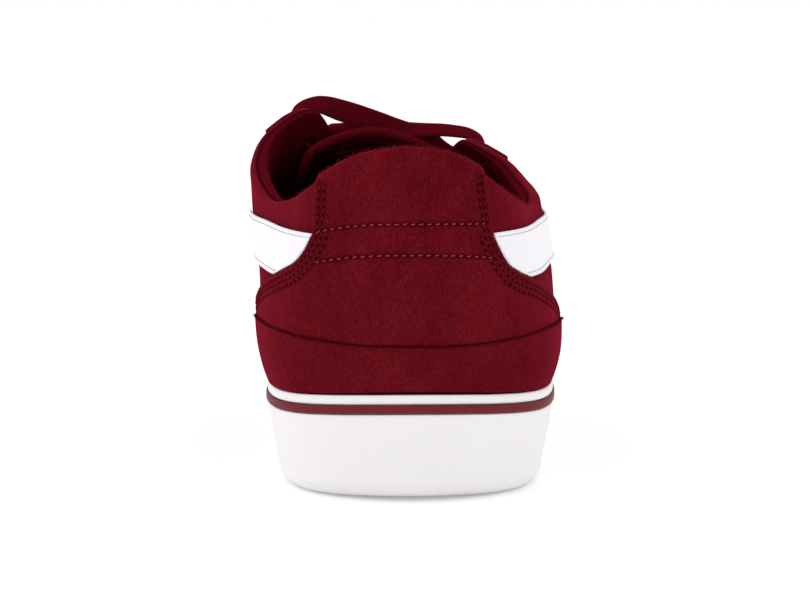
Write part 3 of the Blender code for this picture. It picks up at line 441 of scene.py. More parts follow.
class Paint:
    def __init__(self, name):
        self.material = bpy.data.materials.new(name)
        self.material.use_nodes = True
        self.nodes, self.links = self.material.node_tree.nodes, self.material.node_tree.links

    def fill(self, socket, value):
        if isinstance(value, bpy.types.NodeSocket):
            self.links.new(value, socket)
        elif isinstance(value, tuple) and socket.type == "RGBA":
            socket.default_value = (*value, 1)
        else:
            socket.default_value = value

    def node(self, kind, inputs, **settings):
        made = self.nodes.new("ShaderNode" + kind)
        for setting, value in settings.items():
            setattr(made, setting, value)
        for place, value in inputs.items():
            self.fill(made.inputs[place], value)
        return made.outputs

    def set(self, **values):
        for name, value in values.items():
            self.fill(self.nodes["Principled BSDF"].inputs[shaderSockets[name]], value)

    def coordinates(self, kind="Object"):
        return self.node("TexCoord", {})[kind]

    def weave(self):
        return self.node("SeparateXYZ", {0: self.coordinates("UV")})

    def attribute(self, name):
        return self.node("Attribute", {}, attribute_name=name)["Fac"]

    def noise(self, source, scale, detail=3.0, roughness=0.55):
        inputs = {"Vector": source, "Scale": scale, "Detail": detail, "Roughness": roughness}
        return self.node("TexNoise", inputs)["Fac"]

    def math(self, operation, *values):
        return self.node("Math", dict(enumerate(values)), operation=operation)[0]

    def mix(self, factor, first, second, blend="MIX"):
        return self.node("Mix", {0: factor, 6: first, 7: second}, data_type="RGBA", blend_type=blend)[2]

    def ramp(self, source, *stops):
        made = self.nodes.new("ShaderNodeValToRGB")
        while len(made.color_ramp.elements) < len(stops):
            made.color_ramp.elements.new(0.5)
        for element, (position, colour) in zip(made.color_ramp.elements, stops):
            element.position, element.color = position, (*colour, 1)
        self.links.new(source, made.inputs["Fac"])
        return made.outputs["Color"]

    def bump(self, height, strength, distance, before=None):
        inputs = {"Height": height, "Strength": strength, "Distance": distance}
        if before is not None:
            inputs["Normal"] = before
        return self.node("Bump", inputs)["Normal"]

    def sunk(self, colour, dark, name, share):  # painted shade: darker where the mesh is marked
        marked = self.math("MULTIPLY", self.attribute(name), share)
        return self.mix(marked, colour, dark, "MULTIPLY")


def suede(name, dark, middle, light):
    paint = Paint(name)  # the nap is brushed nearly upright
    brushed = {"Vector": paint.coordinates(), "Scale": (1, 1, 0.62), "Rotation": (0.12, 0.16, 0)}
    place = paint.node("Mapping", brushed)["Vector"]
    nap, fibres = paint.noise(place, 1600, 3, 0.7), paint.noise(place, 3400, 2, 0.7)
    shade = paint.math("MULTIPLY", paint.noise(place, 45, 3), 0.17)
    for layer, weight in ((paint.noise(place, 260, 4, 0.6), 0.13), (nap, 0.31), (fibres, 0.39)):
        shade = paint.math("MULTIPLY_ADD", layer, weight, shade)
    colour = paint.ramp(shade, (0.36, dark), (0.50, middle), (0.66, light))
    # painted shade along the seams: the marked mesh is darkened
    paint.set(colour=paint.sunk(colour, dark, "seamShade", 0.50), roughness=0.97, specular=0.0)
    paint.set(sheen=0.30, sheenSpread=0.40, sheenTint=napTint)
    paint.set(normal=paint.bump(fibres, 0.7, 0.00012, paint.bump(nap, 0.8, 0.00030)))
    return paint.material


def rubber(name, colour, tint, roughness, pebble, gloss=0.5):
    paint = Paint(name)
    place = paint.coordinates()
    grain = paint.noise(place, 900, 3)
    swell = paint.bump(paint.noise(place, 190, 2), 0.25, 0.0006)
    paint.set(colour=paint.mix(paint.noise(place, 60, 4), colour, tint), specular=gloss)
    paint.set(roughness=paint.math("MULTIPLY_ADD", grain, 0.16, roughness - 0.08))
    paint.set(normal=paint.bump(grain, pebble, 0.00012, swell))
    return paint.material


def leather(name, colour, tint):
    paint = Paint(name)
    place = paint.coordinates()
    cells = paint.node("TexVoronoi", {"Vector": place, "Scale": 950})["Distance"]
    grain = paint.bump(cells, 0.30, 0.00012)
    paint.set(colour=paint.mix(paint.noise(place, 120), colour, tint), roughness=0.42)
    paint.set(normal=paint.bump(paint.noise(place, 2400), 0.2, 0.00006, grain))
    return paint.material


def knit(name, dark, light, pitch):
    paint = Paint(name)
    along, up, _ = paint.weave()
    turn = 2 * math.pi / pitch
    wales = paint.math("SINE", paint.math("MULTIPLY", along, turn))
    courses = paint.math("SINE", paint.math("MULTIPLY", up, turn * 1.15))
    fuzz = paint.noise(paint.coordinates(), 1500, 4, 0.65)
    height = paint.math("MULTIPLY_ADD", paint.math("MULTIPLY", wales, courses), 0.35, fuzz)
    colour = paint.ramp(height, (0.30, dark), (0.78, light))
    # painted shade along the collar seam
    colour = paint.sunk(colour, dark, "seamShade", 0.8)
    # painted shade: darker deeper inside the shoe, away from the collar's crest
    paint.set(colour=paint.sunk(colour, dark, "deep", 0.96), roughness=0.97, specular=0.0)
    paint.set(sheen=0.05, sheenSpread=0.5, sheenTint=napTint)
    paint.set(normal=paint.bump(height, 0.8, 0.0003))
    return paint.material


def pile(name, dark, light, ribs):
    paint = Paint(name)
    place = paint.coordinates()
    up = paint.math("MULTIPLY", paint.weave()[1], 2 * math.pi / ribs)
    folds = paint.math("SINE", paint.math("MULTIPLY_ADD", paint.noise(place, 130, 3), 6.0, up))
    height = paint.math("MULTIPLY_ADD", folds, 0.10, paint.noise(place, 900, 5, 0.75))
    paint.set(colour=paint.ramp(height, (0.34, dark), (0.72, light)), roughness=0.98, specular=0.03)
    paint.set(normal=paint.bump(height, 1.0, 0.0009))
    return paint.material


def woven(name, dark, light, pitch):
    paint = Paint(name)
    along, aside, _ = paint.weave()
    turn = 2 * math.pi / pitch
    chevron = paint.math("MULTIPLY", along, turn)
    chevron = paint.math("MULTIPLY_ADD", paint.math("ABSOLUTE", aside), turn * 1.2, chevron)
    strands = paint.math("SINE", paint.math("MULTIPLY", aside, turn * 1.4))
    strands = paint.math("MULTIPLY", strands, 0.3)
    plait = paint.math("MULTIPLY_ADD", paint.math("SINE", chevron), 0.5, strands)
    height = paint.math("MULTIPLY_ADD", plait, 0.3, paint.noise(paint.coordinates(), 2200, 3))
    paint.set(colour=paint.ramp(height, (0.15, dark), (0.85, light)), roughness=0.92, specular=0.0)
    paint.set(sheen=0.12, sheenSpread=0.40, sheenTint=napTint)
    paint.set(normal=paint.bump(height, 0.6, 0.00025))
    return paint.material


def thread(name, colour, tint):
    paint = Paint(name)
    place = paint.coordinates()
    paint.set(colour=paint.mix(paint.noise(place, 600), colour, tint), roughness=0.85, specular=0.0)
    paint.set(normal=paint.bump(paint.noise(place, 4500), 0.5, 0.0001))
    return paint.material


maroonSuede = suede("maroonSuede", (0.055, 0.0014, 0.0034), (0.101, 0.0038, 0.0075), (0.178, 0.0096, 0.0175))
whiteRubber = rubber("whiteRubber", (0.80, 0.78, 0.79), (0.76, 0.735, 0.75), 0.5, 0.25)
redRubber = rubber("redRubber", (0.150, 0.012, 0.018), (0.125, 0.009, 0.014), 0.5, 0.2, 0.15)
whiteLeather = leather("whiteLeather", (0.80, 0.79, 0.82), (0.76, 0.745, 0.78))
maroonKnit = knit("maroonKnit", (0.040, 0.0009, 0.0025), (0.125, 0.0042, 0.0095), 0.0008)
darkPile = pile("darkPile", (0.004, 0.0002, 0.0004), (0.070, 0.0022, 0.0050), 0.0030)
maroonLace = woven("maroonLace", (0.034, 0.0008, 0.0024), (0.100, 0.0034, 0.0078), 0.0012)
darkThread = thread("darkThread", (0.110, 0.0040, 0.0100), (0.190, 0.012, 0.024))
redThread = thread("redThread", (0.25, 0.022, 0.038), (0.34, 0.045, 0.068))
greyThread = thread("greyThread", (0.50, 0.42, 0.46), (0.62, 0.54, 0.58))
# flat dark discs of painted shade in the needle holes, on the suede and on the white band
needleHoleShade = thread("needleHoleShade", (0.024, 0.0008, 0.0016), (0.040, 0.0014, 0.0028))
greyHoleShade = thread("greyHoleShade", (0.22, 0.17, 0.20), (0.34, 0.28, 0.31))
paleFibre = thread("paleFibre", (0.150, 0.008, 0.018), (0.33, 0.045, 0.065))
print("materials made")


# building helpers


def finishPiece(name, bm, materials, node):
    mesh = bpy.data.meshes.new(name)
    bm.to_mesh(mesh)
    bm.free()
    for material in materials:
        mesh.materials.append(material)
    mesh.shade_smooth()
    made = bpy.data.objects.new(name, mesh)
    bpy.context.scene.collection.objects.link(made)
    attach(made, "root")
    if node:
        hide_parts(node)
    return made


def gridOf(points, weave=None):
    across, up = points.shape[0] - 1, points.shape[1] - 1
    bm = bmesh.new()
    layer = bm.loops.layers.uv.new("weave")
    bmesh.ops.create_grid(bm, x_segments=across, y_segments=up, size=0.5)
    bm.verts.ensure_lookup_table()
    for vert, place in zip(bm.verts, points.transpose(1, 0, 2).reshape(-1, 3) - middle):
        vert.co = place
    if weave is None:
        alongs = np.concatenate([[0], np.cumsum(np.linalg.norm(np.diff(points, axis=0), axis=2).max(1))])
        ups = np.concatenate([[0], np.cumsum(np.linalg.norm(np.diff(points, axis=1), axis=2).mean(0))])
        weave = np.stack(np.meshgrid(alongs, ups, indexing="ij"), 2)
    uvs = weave.transpose(1, 0, 2).reshape(-1, 2)
    for face in bm.faces:
        for loop in face.loops:
            loop[layer].uv = uvs[loop.vert.index]
    return bm


def weld(bm, distance=0.00002):
    bmesh.ops.remove_doubles(bm, verts=bm.verts, dist=distance)


def pour(part, whole):  # adds one mesh to another
    mesh = bpy.data.meshes.new("part")
    part.to_mesh(mesh)
    part.free()
    whole.from_mesh(mesh)
    bpy.data.meshes.remove(mesh)


def thicken(made, thickness):
    shell = made.modifiers.new("wall", "SOLIDIFY")
    shell.thickness, shell.offset, shell.use_even_offset = thickness, -1.0, False


def dense(low, high, step):
    return np.linspace(low, high, max(int(round(abs(high - low) / step)), 1) + 1)


def punch(bm, centre, axis, radius, reach=0.006, ring=1.6):
    centre, axis = Vector(centre - middle), Vector(axis)
    near = []
    for face in bm.faces:
        away = face.calc_center_median() - centre
        if away.length < reach and (away - axis * away.dot(axis)).length < radius:
            near.append(face)
    bmesh.ops.delete(bm, geom=near, context="FACES")
    for vert in bm.verts:
        away = vert.co - centre
        flat = away - axis * away.dot(axis)
        if away.length < reach and vert.is_boundary and flat.length < radius * ring:
            vert.co += flat.normalized() * radius - flat


def seamLine(path, lift):
    fine = []
    for (s0, w0), (s1, w1) in zip(path, path[1:]):
        fine += [(s0 + (s1 - s0) * t, w0 + (w1 - w0) * t) for t in np.linspace(0, 1, 7)[:-1]]
    return np.array([skinPoint(s, w, lift) for s, w in fine]), np.array([normalPoint(s, w) for s, w in fine])


# depth of the press along the seams, and the reach of the press and of its painted shade
pressSizes = {"depth": 0.00022, "reach": 0.00065}


# marks how close each point of a surface is to these points
def markNear(bm, name, points, reach, far=0.0, near=1.0):
    tree = kdtree.KDTree(len(points))
    for number, point in enumerate(points):
        tree.insert(Vector(point - middle), number)
    tree.balance()
    layer = bm.verts.layers.float.new(name)
    for vert in bm.verts:
        vert[layer] = far + (near - far) * math.exp(-((tree.find(vert.co)[2] / reach) ** 2))
    return layer


# sinks a surface along its seams and marks it there for painted shade in the material
def pressInAndShade(bm, lines):
    layer = markNear(bm, "seamShade", np.concatenate([places for places, _ in lines]), pressSizes["reach"])
    bm.normal_update()
    moved = [vert.co - vert.normal * pressSizes["depth"] * vert[layer] for vert in bm.verts]
    for vert, place in zip(bm.verts, moved):
        vert.co = place


# the upper: suede outside, padded knit inside
upperSizes = {
    "perStation": 12,
    "rows": 58,
    "rollRows": 12,
    "suedeWall": 0.0011,
    "liningWall": 0.0008,
    "seamTurn": {-1: 0.40, 1: 0.57},
    "seamDent": 0.20,
    "dentWidth": 0.035,
    "liningSwell": 0.10,
    "crest": 0.6,
    "interiorShadeReach": 0.017,
    "seamShadeReach": {"suede": 0.0008, "lining": 0.0007},
}


def rimRoll(station, turns, lift=0.0):
    out = skinPoint(station, 1.0)
    inner = out - normalPoint(station, 1.0) * wallAt(station, 1.0)
    up = unit(out - skinPoint(station, 0.96))
    centre, width = (out + inner) / 2, np.linalg.norm(out - inner)
    turns, seam = np.asarray(turns), upperSizes["seamTurn"][sideOf(station)]
    swell = 1 + upperSizes["liningSwell"] * np.sin(np.clip((turns - seam) / (1 - seam), 0, 1) * math.pi)
    swell -= upperSizes["seamDent"] * np.exp(-(((turns - seam) / upperSizes["dentWidth"]) ** 2))
    angles = turns[:, None] * math.pi
    outwards, upwards = unit(out - centre) * (width / 2 + lift), up * (width * form["crestRise"] + lift)
    return centre + (outwards * np.cos(angles) + upwards * np.sin(angles)) * swell[:, None]


# the suede ends at the collar's seam, where the lining begins
def upperPoints(outer):
    count = toeTip * upperSizes["perStation"]
    below, rows, rolls = (-0.35, 4, 1) if outer else (-0.9, 7, 5)
    ways = np.concatenate([np.linspace(below, 0, rows)[:-1], np.linspace(0, 1, upperSizes["rows"])])
    shares = np.linspace(1, 0, upperSizes["rollRows"] + rolls)[1:]
    columns = []
    for s in [i / upperSizes["perStation"] for i in range(-count, count + 1)]:
        seam = upperSizes["seamTurn"][sideOf(s)]
        if outer:
            body, turns = skin(s, ways), seam * (1 - shares**1.6)
        else:
            body = skinRow(s, ways) - normalRow(s, ways) * wallAt(s, ways)[:, None]
            turns = seam - 0.01 + (1.01 - seam) * shares**1.4
        roll = rimRoll(s, turns) if abs(s) < throatEnd else np.repeat(body[-1:], len(turns), 0)
        columns.append(np.concatenate([body, roll]))
    return np.array(columns)


eyeletSizes = {"first": 0.612, "last": 0.403, "pairs": 6, "inset": 0.0085, "lowest": 0.8, "radius": 0.0021}


def stationAtForward(forward):
    tried = np.arange(toeTip * 20 + 1) / 20
    return float(np.interp(forward, forwardAt(tried), tried))


def eyelet(side, number):
    share = number / (eyeletSizes["pairs"] - 1)
    station = stationAtForward(eyeletSizes["first"] + (eyeletSizes["last"] - eyeletSizes["first"]) * share)
    inset = eyeletSizes["inset"] * (1.0 if number else eyeletSizes["lowest"])
    return side * station, wayFromRim(side * station, inset)


eyelets = [(side, number) + eyelet(side, number) for side in (-1, 1) for number in range(eyeletSizes["pairs"])]


# overlays that lie on the upper
counterSizes = {
    "gap": 0.0003,
    "wall": 0.0012,
    "overRim": 0.24,
    "seamGap": 0.0065,
    "seamCloses": (2.6, 1.6),
    "seamLeft": 0.2,
}
foxingSizes = {"gap": 0.0003, "wall": 0.0016, "foot": 0.020, "end": 7.0}
staySizes = {
    "wall": 0.0010,
    "gap": 0.0003,
    "width": 0.021,
    "footWidth": 0.013,
    "edge": 0.0006,
    "start": {-1: 7.35, 1: 7.2},
    "end": 14.75,
    "slant": 1.3,
    "hole": 0.0019,
}
bandSizes = {"wall": 0.0008, "gap": 0.0004, "height": 0.069, "width": 0.0135, "end": 5.9, "clearance": 0.0007}
# how far the seams lie from the edges that they follow
seamSizes = {"tab": (0.0016, 0.0032), "wing": 0.0050, "stay": (0.0018, 0.0036), "band": 0.0012}
# the two rows across the tab: height in the middle, at the medial end, at the lateral end
rowHeights = [(0.0790, 0.0762, 0.0784), (0.0706, 0.0680, 0.0690)]
rowEnd = 1.93


def seamWay(station):
    return wayAtHeight(station, seamHeight[sideOf(station)](abs(station)))


# the open seam over the foxing, which closes towards the sides
def seamGap(station):
    frayed = 1 + 0.5 * noise.noise(Vector((station * 40, 0, 0)))
    start, length = counterSizes["seamCloses"]
    closed = (1 - counterSizes["seamLeft"]) * smooth((abs(station) - start) / length)
    return counterSizes["seamGap"] * frayed * float(1 - closed)


def wingWay(station):
    return wayAtHeight(station, wingHeight[sideOf(station)](abs(station)))


def stayColumns(side):
    columns = []
    start = staySizes["start"][side]
    for s in dense(start, staySizes["end"], 0.06):
        narrow = min(max(1 - (throatEnd - s) / 2, 0), 1)
        width = staySizes["width"] + (staySizes["footWidth"] - staySizes["width"]) * narrow
        lean = staySizes["slant"] * (staySizes["end"] - s) / (staySizes["end"] - start)
        column = []
        for distance in np.linspace(width, staySizes["edge"], 28):
            slanted = side * (s + lean * (distance - staySizes["edge"]) / width)
            column.append((slanted, wayFromRim(slanted, distance)))
        columns.append(column)
    return columns if side > 0 else columns[::-1]


def offsetPath(path, distance):
    moved = []
    bare = lambda s, w: skinRow(s, np.array([w]))[0]
    along = unit(np.gradient(np.array([bare(s, w) for s, w in path]), axis=0))
    for (s, w), tangent in zip(path, along):
        inward = np.cross(normalPoint(s, w), tangent) * distance
        byStation = (bare(s + 0.02, w) - bare(s - 0.02, w)) / 0.04
        byWay = (bare(s, w) - bare(s, w - 0.01)) / 0.01
        step, *_ = np.linalg.lstsq(np.stack([byStation, byWay], 1), inward, rcond=None)
        moved.append((s + step[0], w + step[1]))
    return moved


# hole is the size of the flat dark disc of painted shade in each needle hole
stitchSizes = {
    "plain": {"pitch": 0.00225, "length": 0.00150, "radius": 0.00024, "rise": 0.00008, "slant": 0.16, "hole": 0.00026},
    "sunk": {"pitch": 0.00215, "length": 0.00125, "radius": 0.00024, "rise": -0.00005, "slant": 0.10, "hole": 0.00029},
    "flat": {"pitch": 0.00200, "length": 0.00130, "radius": 0.00017, "rise": 0.00003, "slant": 0.05, "hole": 0.00020},
}
holeShadeFlatness = 0.00006


def tabSeams(side):
    corner = wayAtHeight(side * tabEdge, wingHeight[side](tabEdge))
    edge = [(side * tabEdge, w) for w in np.linspace(0.995, corner, 16)]
    edge += [(side * s, wingWay(side * s)) for s in dense(tabEdge + 0.1, 4.6, 0.15)]
    seams = [offsetPath(edge, -side * distance) for distance in seamSizes["tab"]]
    return seams + [offsetPath(edge[14:], -side * seamSizes["wing"])]


def rowSeams():
    rows = []
    for height, left, right in rowHeights:
        sag = lambda s: ((left if s < 0 else right) - height) * abs(s / rowEnd) ** 2.5
        rows.append([(s, wayAtHeight(s, height + sag(s))) for s in np.linspace(-rowEnd, rowEnd, 24)])
    return rows


def staySeams(side):
    paths = []
    for distance in seamSizes["stay"]:
        path = []
        for column in stayColumns(side)[::2]:
            run = runAlong(np.array([skinPoint(s, way) for s, way in column]))
            path.append(tuple(float(np.interp(distance, run, values)) for values in np.array(column).T))
        paths.append(path)
    return paths


tabLift = counterSizes["gap"] + counterSizes["wall"]
stayLift = staySizes["gap"] + staySizes["wall"]
bandLift = bandSizes["gap"] + bandSizes["wall"]
seams = {side: [seamLine(path, stayLift) for path in staySeams(side)] for side in (-1, 1)}
seams["row"] = [seamLine(path, tabLift) for path in rowSeams()]
seams["tab"] = [seamLine(path, tabLift) for side in (-1, 1) for path in tabSeams(side)]
print("seams laid out")


def punchEyelets(bm, sides=(-1, 1), radius=eyeletSizes["radius"]):
    for side, _, s, way in eyelets:
        if side in sides:
            punch(bm, skinPoint(s, way), normalPoint(s, way), radius)


collarRun = [side * s for side in (-1, 1) for s in dense(0.0, throatEnd - 0.2, 0.04)]
collarSeam = np.array([rimRoll(s, [upperSizes["seamTurn"][sideOf(s)]])[0] for s in collarRun])
collarCrest = np.array([rimRoll(s, [upperSizes["crest"]])[0] for s in collarRun])
bm = gridOf(upperPoints(True))
weld(bm)
punchEyelets(bm)
# marks painted shade along the collar seam
markNear(bm, "seamShade", collarSeam, upperSizes["seamShadeReach"]["suede"])
upperSuede = finishPiece("upperSuede", bm, [maroonSuede], "upper")
thicken(upperSuede, upperSizes["suedeWall"])

bm = gridOf(upperPoints(False))
weld(bm)
punchEyelets(bm)
# marks painted shade along the collar seam
markNear(bm, "seamShade", collarSeam, upperSizes["seamShadeReach"]["lining"])
# marks painted shade deeper inside the shoe, away from the collar's crest
markNear(bm, "deep", collarCrest, upperSizes["interiorShadeReach"], 1.0, 0.0)
bmesh.ops.reverse_faces(bm, faces=bm.faces)
collarLining = finishPiece("collarLining", bm, [maroonKnit], "upper")
thicken(collarLining, upperSizes["liningWall"])
print("upper made")


def bandStart(side, height):
    start = tabEdge + 0.04
    while start < ankleFront and wingHeight[side](start) + bandSizes["clearance"] > height:
        start += 0.01
    return start


def makeCounter():
    tab = dense(-tabEdge, tabEdge, 0.026)
    wing = dense(tabEdge + 0.03, ankleFront, 0.03)
    bend = {s: wayAtHeight(s * tabEdge, wingHeight[s](tabEdge)) for s in (-1, 1)}
    lower, upper = [], []
    for s in np.concatenate([-wing[::-1], tab, wing]):
        low = seamWay(s) + seamGap(s)
        if abs(s) > tabEdge:
            high = wingWay(s)
        else:
            share = (s + tabEdge) / (2 * tabEdge)
            high = bend[-1] * (1 - share) + bend[1] * share
            frayed = 1 + 0.12 * noise.noise(Vector((s * 9, 3, 0)))
            turns = counterSizes["overRim"] * np.array([0.25, 0.5, 0.75, 1.0]) * frayed
            upper.append(np.concatenate([skin(s, np.linspace(high, 1, 56), tabLift), rimRoll(s, turns, tabLift)]))
        lower.append(skin(s, np.linspace(low, high, 80), tabLift))
    bm = gridOf(np.array(lower))
    pour(gridOf(np.array(upper)), bm)
    weld(bm, 0.00004)
    pressInAndShade(bm, seams["tab"] + seams["row"])
    thicken(finishPiece("heelCounter", bm, [maroonSuede], "heel_counter"), counterSizes["wall"])


makeCounter()

foxing = []
for s in dense(-foxingSizes["end"], foxingSizes["end"], 0.07):
    ways = np.linspace(foxingSizes["foot"], max(seamWay(s), 0.05), 30)
    foxing.append(skin(s, ways, foxingSizes["gap"] + foxingSizes["wall"]))
bm = gridOf(np.array(foxing))
weld(bm)
thicken(finishPiece("heelFoxing", bm, [maroonSuede], "heel_foxing"), foxingSizes["wall"])


def makeStay(side, name):
    bm = gridOf(np.array([[skinPoint(s, way, stayLift) for s, way in column] for column in stayColumns(side)]))
    punchEyelets(bm, (side,), staySizes["hole"])
    pressInAndShade(bm, seams[side])
    stay = finishPiece("eyestay" + name, bm, [maroonSuede], "eyestay_" + name.lower())
    thicken(stay, staySizes["wall"])


def makeBand(side, name):
    rows = []
    low, high = (bandSizes["height"] + share * bandSizes["width"] for share in (-0.5, 0.5))
    for height in np.linspace(low, high, 16):
        run = side * np.linspace(bandStart(side, height), bandSizes["end"], 90)
        rows.append([skinPoint(s, wayAtHeight(s, height), bandLift) for s in run])
    bm = gridOf(np.array(rows).transpose(1, 0, 2)[::side])
    band = finishPiece("sideBand" + name, bm, [whiteLeather], "side_band_" + name.lower())
    thicken(band, bandSizes["wall"])


for side, name in ((-1, "Medial"), (1, "Lateral")):
    makeStay(side, name)
    makeBand(side, name)
print("overlays made")

# the cup sole, its red line, its tread and the footbed
soleSizes = {
    "around": 420,
    "rim": 0.0065,
    "recess": 0.0020,
    "lipRadius": 0.0008,
    "stripeBelow": 0.0029,
    "stripeHeight": 0.0025,
    "stripeDepth": 0.0009,
    "stripeProud": 0.0005,
    "soft": 0.0004,
    "flat": 0.003,
}
treadSizes = {
    "pitch": 0.00475,
    "width": 0.0026,
    "wave": 0.0018,
    "period": 0.0085,
    "rim": 0.0075,
    "waist": (0.30, 0.46),
    "ends": (0.020, 0.018),
    "narrowest": 0.02,
}
ribShape = [(-0.5, 0.0), (-0.42, 0.9), (-0.3, 1.0), (0.3, 1.0), (0.42, 0.9), (0.5, 0.0)]  # across and down
footbedSizes = {"around": 180, "thickness": 0.0050, "edge": 0.0070, "sunk": 0.14}
footbedEdge = [(0.0, 0.35), (0.0, 0.8), (0.0004, 0.97), (0.0012, 1.06), (0.0024, 1.04), (0.0034, 1.0)]  # inset, up
soleCentre = np.array([0.0, form["soleLength"] / 2, 0.0])


def ringKnots(count):
    half = count // 2
    lateral = [float(np.interp(i / half, *aroundKnots[1])) for i in range(half + 1)]
    medial = [float(np.interp(i / half, *aroundKnots[-1])) for i in range(half - 1, 0, -1)]
    return np.array(lateral + medial + [2 * tipKnot])


def ringAt(knots, inset, height):
    y = outline(knots)[:, 1]
    x, yIn, nx, ny = outlineAt(knots, inset(y) if callable(inset) else inset)
    return np.stack([x, yIn, height(yIn)], 1)


def wallTaper(y):
    return form["wallTaper"] * (1 - 0.4 * smooth(y / form["soleLength"] / 0.35))


def footRadius(y):
    share = smooth(1 - y / (form["heelFootShare"] * form["soleLength"]))
    return form["footRadius"] + (form["heelFootRadius"] - form["footRadius"]) * share


def shrink(ring, share, height):  # a smaller ring, laid on a surface
    smaller = soleCentre + (ring - soleCentre) * [share, share, 1]
    smaller[:, 2] = height(smaller[:, 1])
    return smaller


def makeSole():
    rings = []
    knots = ringKnots(soleSizes["around"])
    add = lambda inset, height: rings.append(ringAt(knots, inset, height))
    foot, taper = footRadius, wallTaper
    low = soleSizes["stripeBelow"] + soleSizes["stripeHeight"] + form["gap"]
    high = soleSizes["stripeBelow"] - form["gap"]
    recess = lambda y: taper(y) + foot(y) + soleSizes["rim"]
    underside = lambda y: ground(y) + soleSizes["recess"]
    add(recess, underside)
    soft = soleSizes["soft"]
    add(recess, lambda y: ground(y) + soft)
    add(lambda y: recess(y) - soft, ground)
    add(lambda y: taper(y) + foot(y) + soleSizes["flat"], ground)
    for turn in np.linspace(0, math.pi / 2, 10):
        inset = lambda y: taper(y) + foot(y) * (1 - math.sin(turn))
        add(inset, lambda y: ground(y) + foot(y) * (1 - math.cos(turn)))
    wallTop = lambda y: lipTop(y) - low
    for share in np.linspace(0.06, 0.985, 12):
        rising = lambda y: ground(y) + foot(y) + (wallTop(y) - ground(y) - foot(y)) * share
        add(lambda y: taper(y) * (1 - share) ** 1.15, rising)
    groove = [(0.0001, 0.0), (soft, 0.00015), (soleSizes["stripeDepth"], 0.0002)]  # its softened edges
    for inset, up in groove:
        add(inset, lambda y: wallTop(y) + up)
    for inset, down in groove[::-1]:
        add(inset, lambda y: lipTop(y) - high - down)
    radius = soleSizes["lipRadius"]
    add(0.0, lambda y: lipTop(y) - high + soft)
    add(0.0, lambda y: lipTop(y) - radius - 0.0002)
    for turn in np.linspace(0, math.pi, 9):
        inset = 0.0001 + radius * (1 - math.cos(turn))
        add(inset, lambda y: lipTop(y) - radius + radius * math.sin(turn))
    add(form["lipWall"] * 0.98, lambda y: lipTop(y) - 0.002)
    add(form["cupWall"], cupFloor)
    closing = [shrink(rings[0], share, underside) for share in (0.0, 0.35, 0.7, 0.93)]
    floor = [shrink(rings[-1], share, cupFloor) for share in (0.9, 0.5, 0.0)]
    bm = gridOf(np.array(closing + rings + floor).transpose(1, 0, 2))
    weld(bm)
    finishPiece("cupSole", bm, [whiteRubber], "cupsole")


makeSole()

knots = ringKnots(soleSizes["around"])
inner, proud = soleSizes["stripeDepth"] - 0.0002, -soleSizes["stripeProud"]
below, tall = soleSizes["stripeBelow"], soleSizes["stripeHeight"]
lowHalf = [(inner, 1.0), (0.0001, 1.0), (proud + 0.0003, 0.985), (proud + 0.0001, 0.93), (proud, 0.8)]
highHalf = [(proud, 0.2), (proud + 0.0001, 0.07), (proud + 0.0003, 0.015), (0.0001, 0.0), (inner, 0.0)]
profile = lowHalf + highHalf + lowHalf[:1]
stripeRings = [ringAt(knots, inset, lambda y: lipTop(y) - below - tall * share) for inset, share in profile]
bm = gridOf(np.array(stripeRings).transpose(1, 0, 2))
weld(bm)
finishPiece("soleStripe", bm, [redRubber], "sole_stripe")


def makeTread():
    sizes = treadSizes
    bm = bmesh.new()
    rings = {side: outline(aroundKnots[side][1]) for side in (-1, 1)}
    halfWidth = lambda side, y: np.interp(y, rings[side][:, 1], rings[side][:, 0])
    y = sizes["ends"][0]
    while y < form["soleLength"] - sizes["ends"][1]:
        rim = sizes["rim"] + wallTaper(y) + form["footRadius"]
        left, right = halfWidth(-1, y) + rim, halfWidth(1, y) - rim
        inWaist = sizes["waist"][0] < y / form["soleLength"] < sizes["waist"][1]
        if not inWaist and right - left > sizes["narrowest"]:
            xs = dense(left, right, sizes["period"] / 6)
            columns = []
            for x in xs:
                wave = sizes["wave"] * math.asin(math.sin(x / sizes["period"] * 2 * math.pi)) / (math.pi / 2)
                deep = 0.0 if x in (xs[0], xs[-1]) else 1.0
                line = []
                for across, down in ribShape:
                    at = y + wave + across * sizes["width"]
                    line.append([x, at, ground(at) + (soleSizes["recess"] + 0.0001) * (1 - down * deep)])
                columns.append(line)
            pour(gridOf(np.array(columns)[::-1]), bm)
        y += sizes["pitch"]
    finishPiece("soleTread", bm, [whiteRubber], None)


makeTread()


def makeFootbed():
    knots = ringKnots(footbedSizes["around"])
    edge, thick = footbedSizes["edge"], footbedSizes["thickness"]
    base = lambda y: cupFloor(y) + form["gap"]
    rings = [shrink(ringAt(knots, edge, base), share, base) for share in (0.0, 0.5, 1.0)]
    for inset, up in footbedEdge:
        rings.append(ringAt(knots, edge + inset, lambda y: base(y) + thick * up))
    last, sunk = rings.pop(), footbedSizes["sunk"]
    for share in np.linspace(1.0, 0.0, 22):
        rings.append(shrink(last, share, lambda y: base(y) + thick * (1 - sunk + sunk * share**3)))
    points = np.array(rings).transpose(1, 0, 2)
    bm = gridOf(points, points[:, :, :2].copy())
    weld(bm)
    finishPiece("footbed", bm, [maroonKnit], "insole")


makeFootbed()
print("sole made")

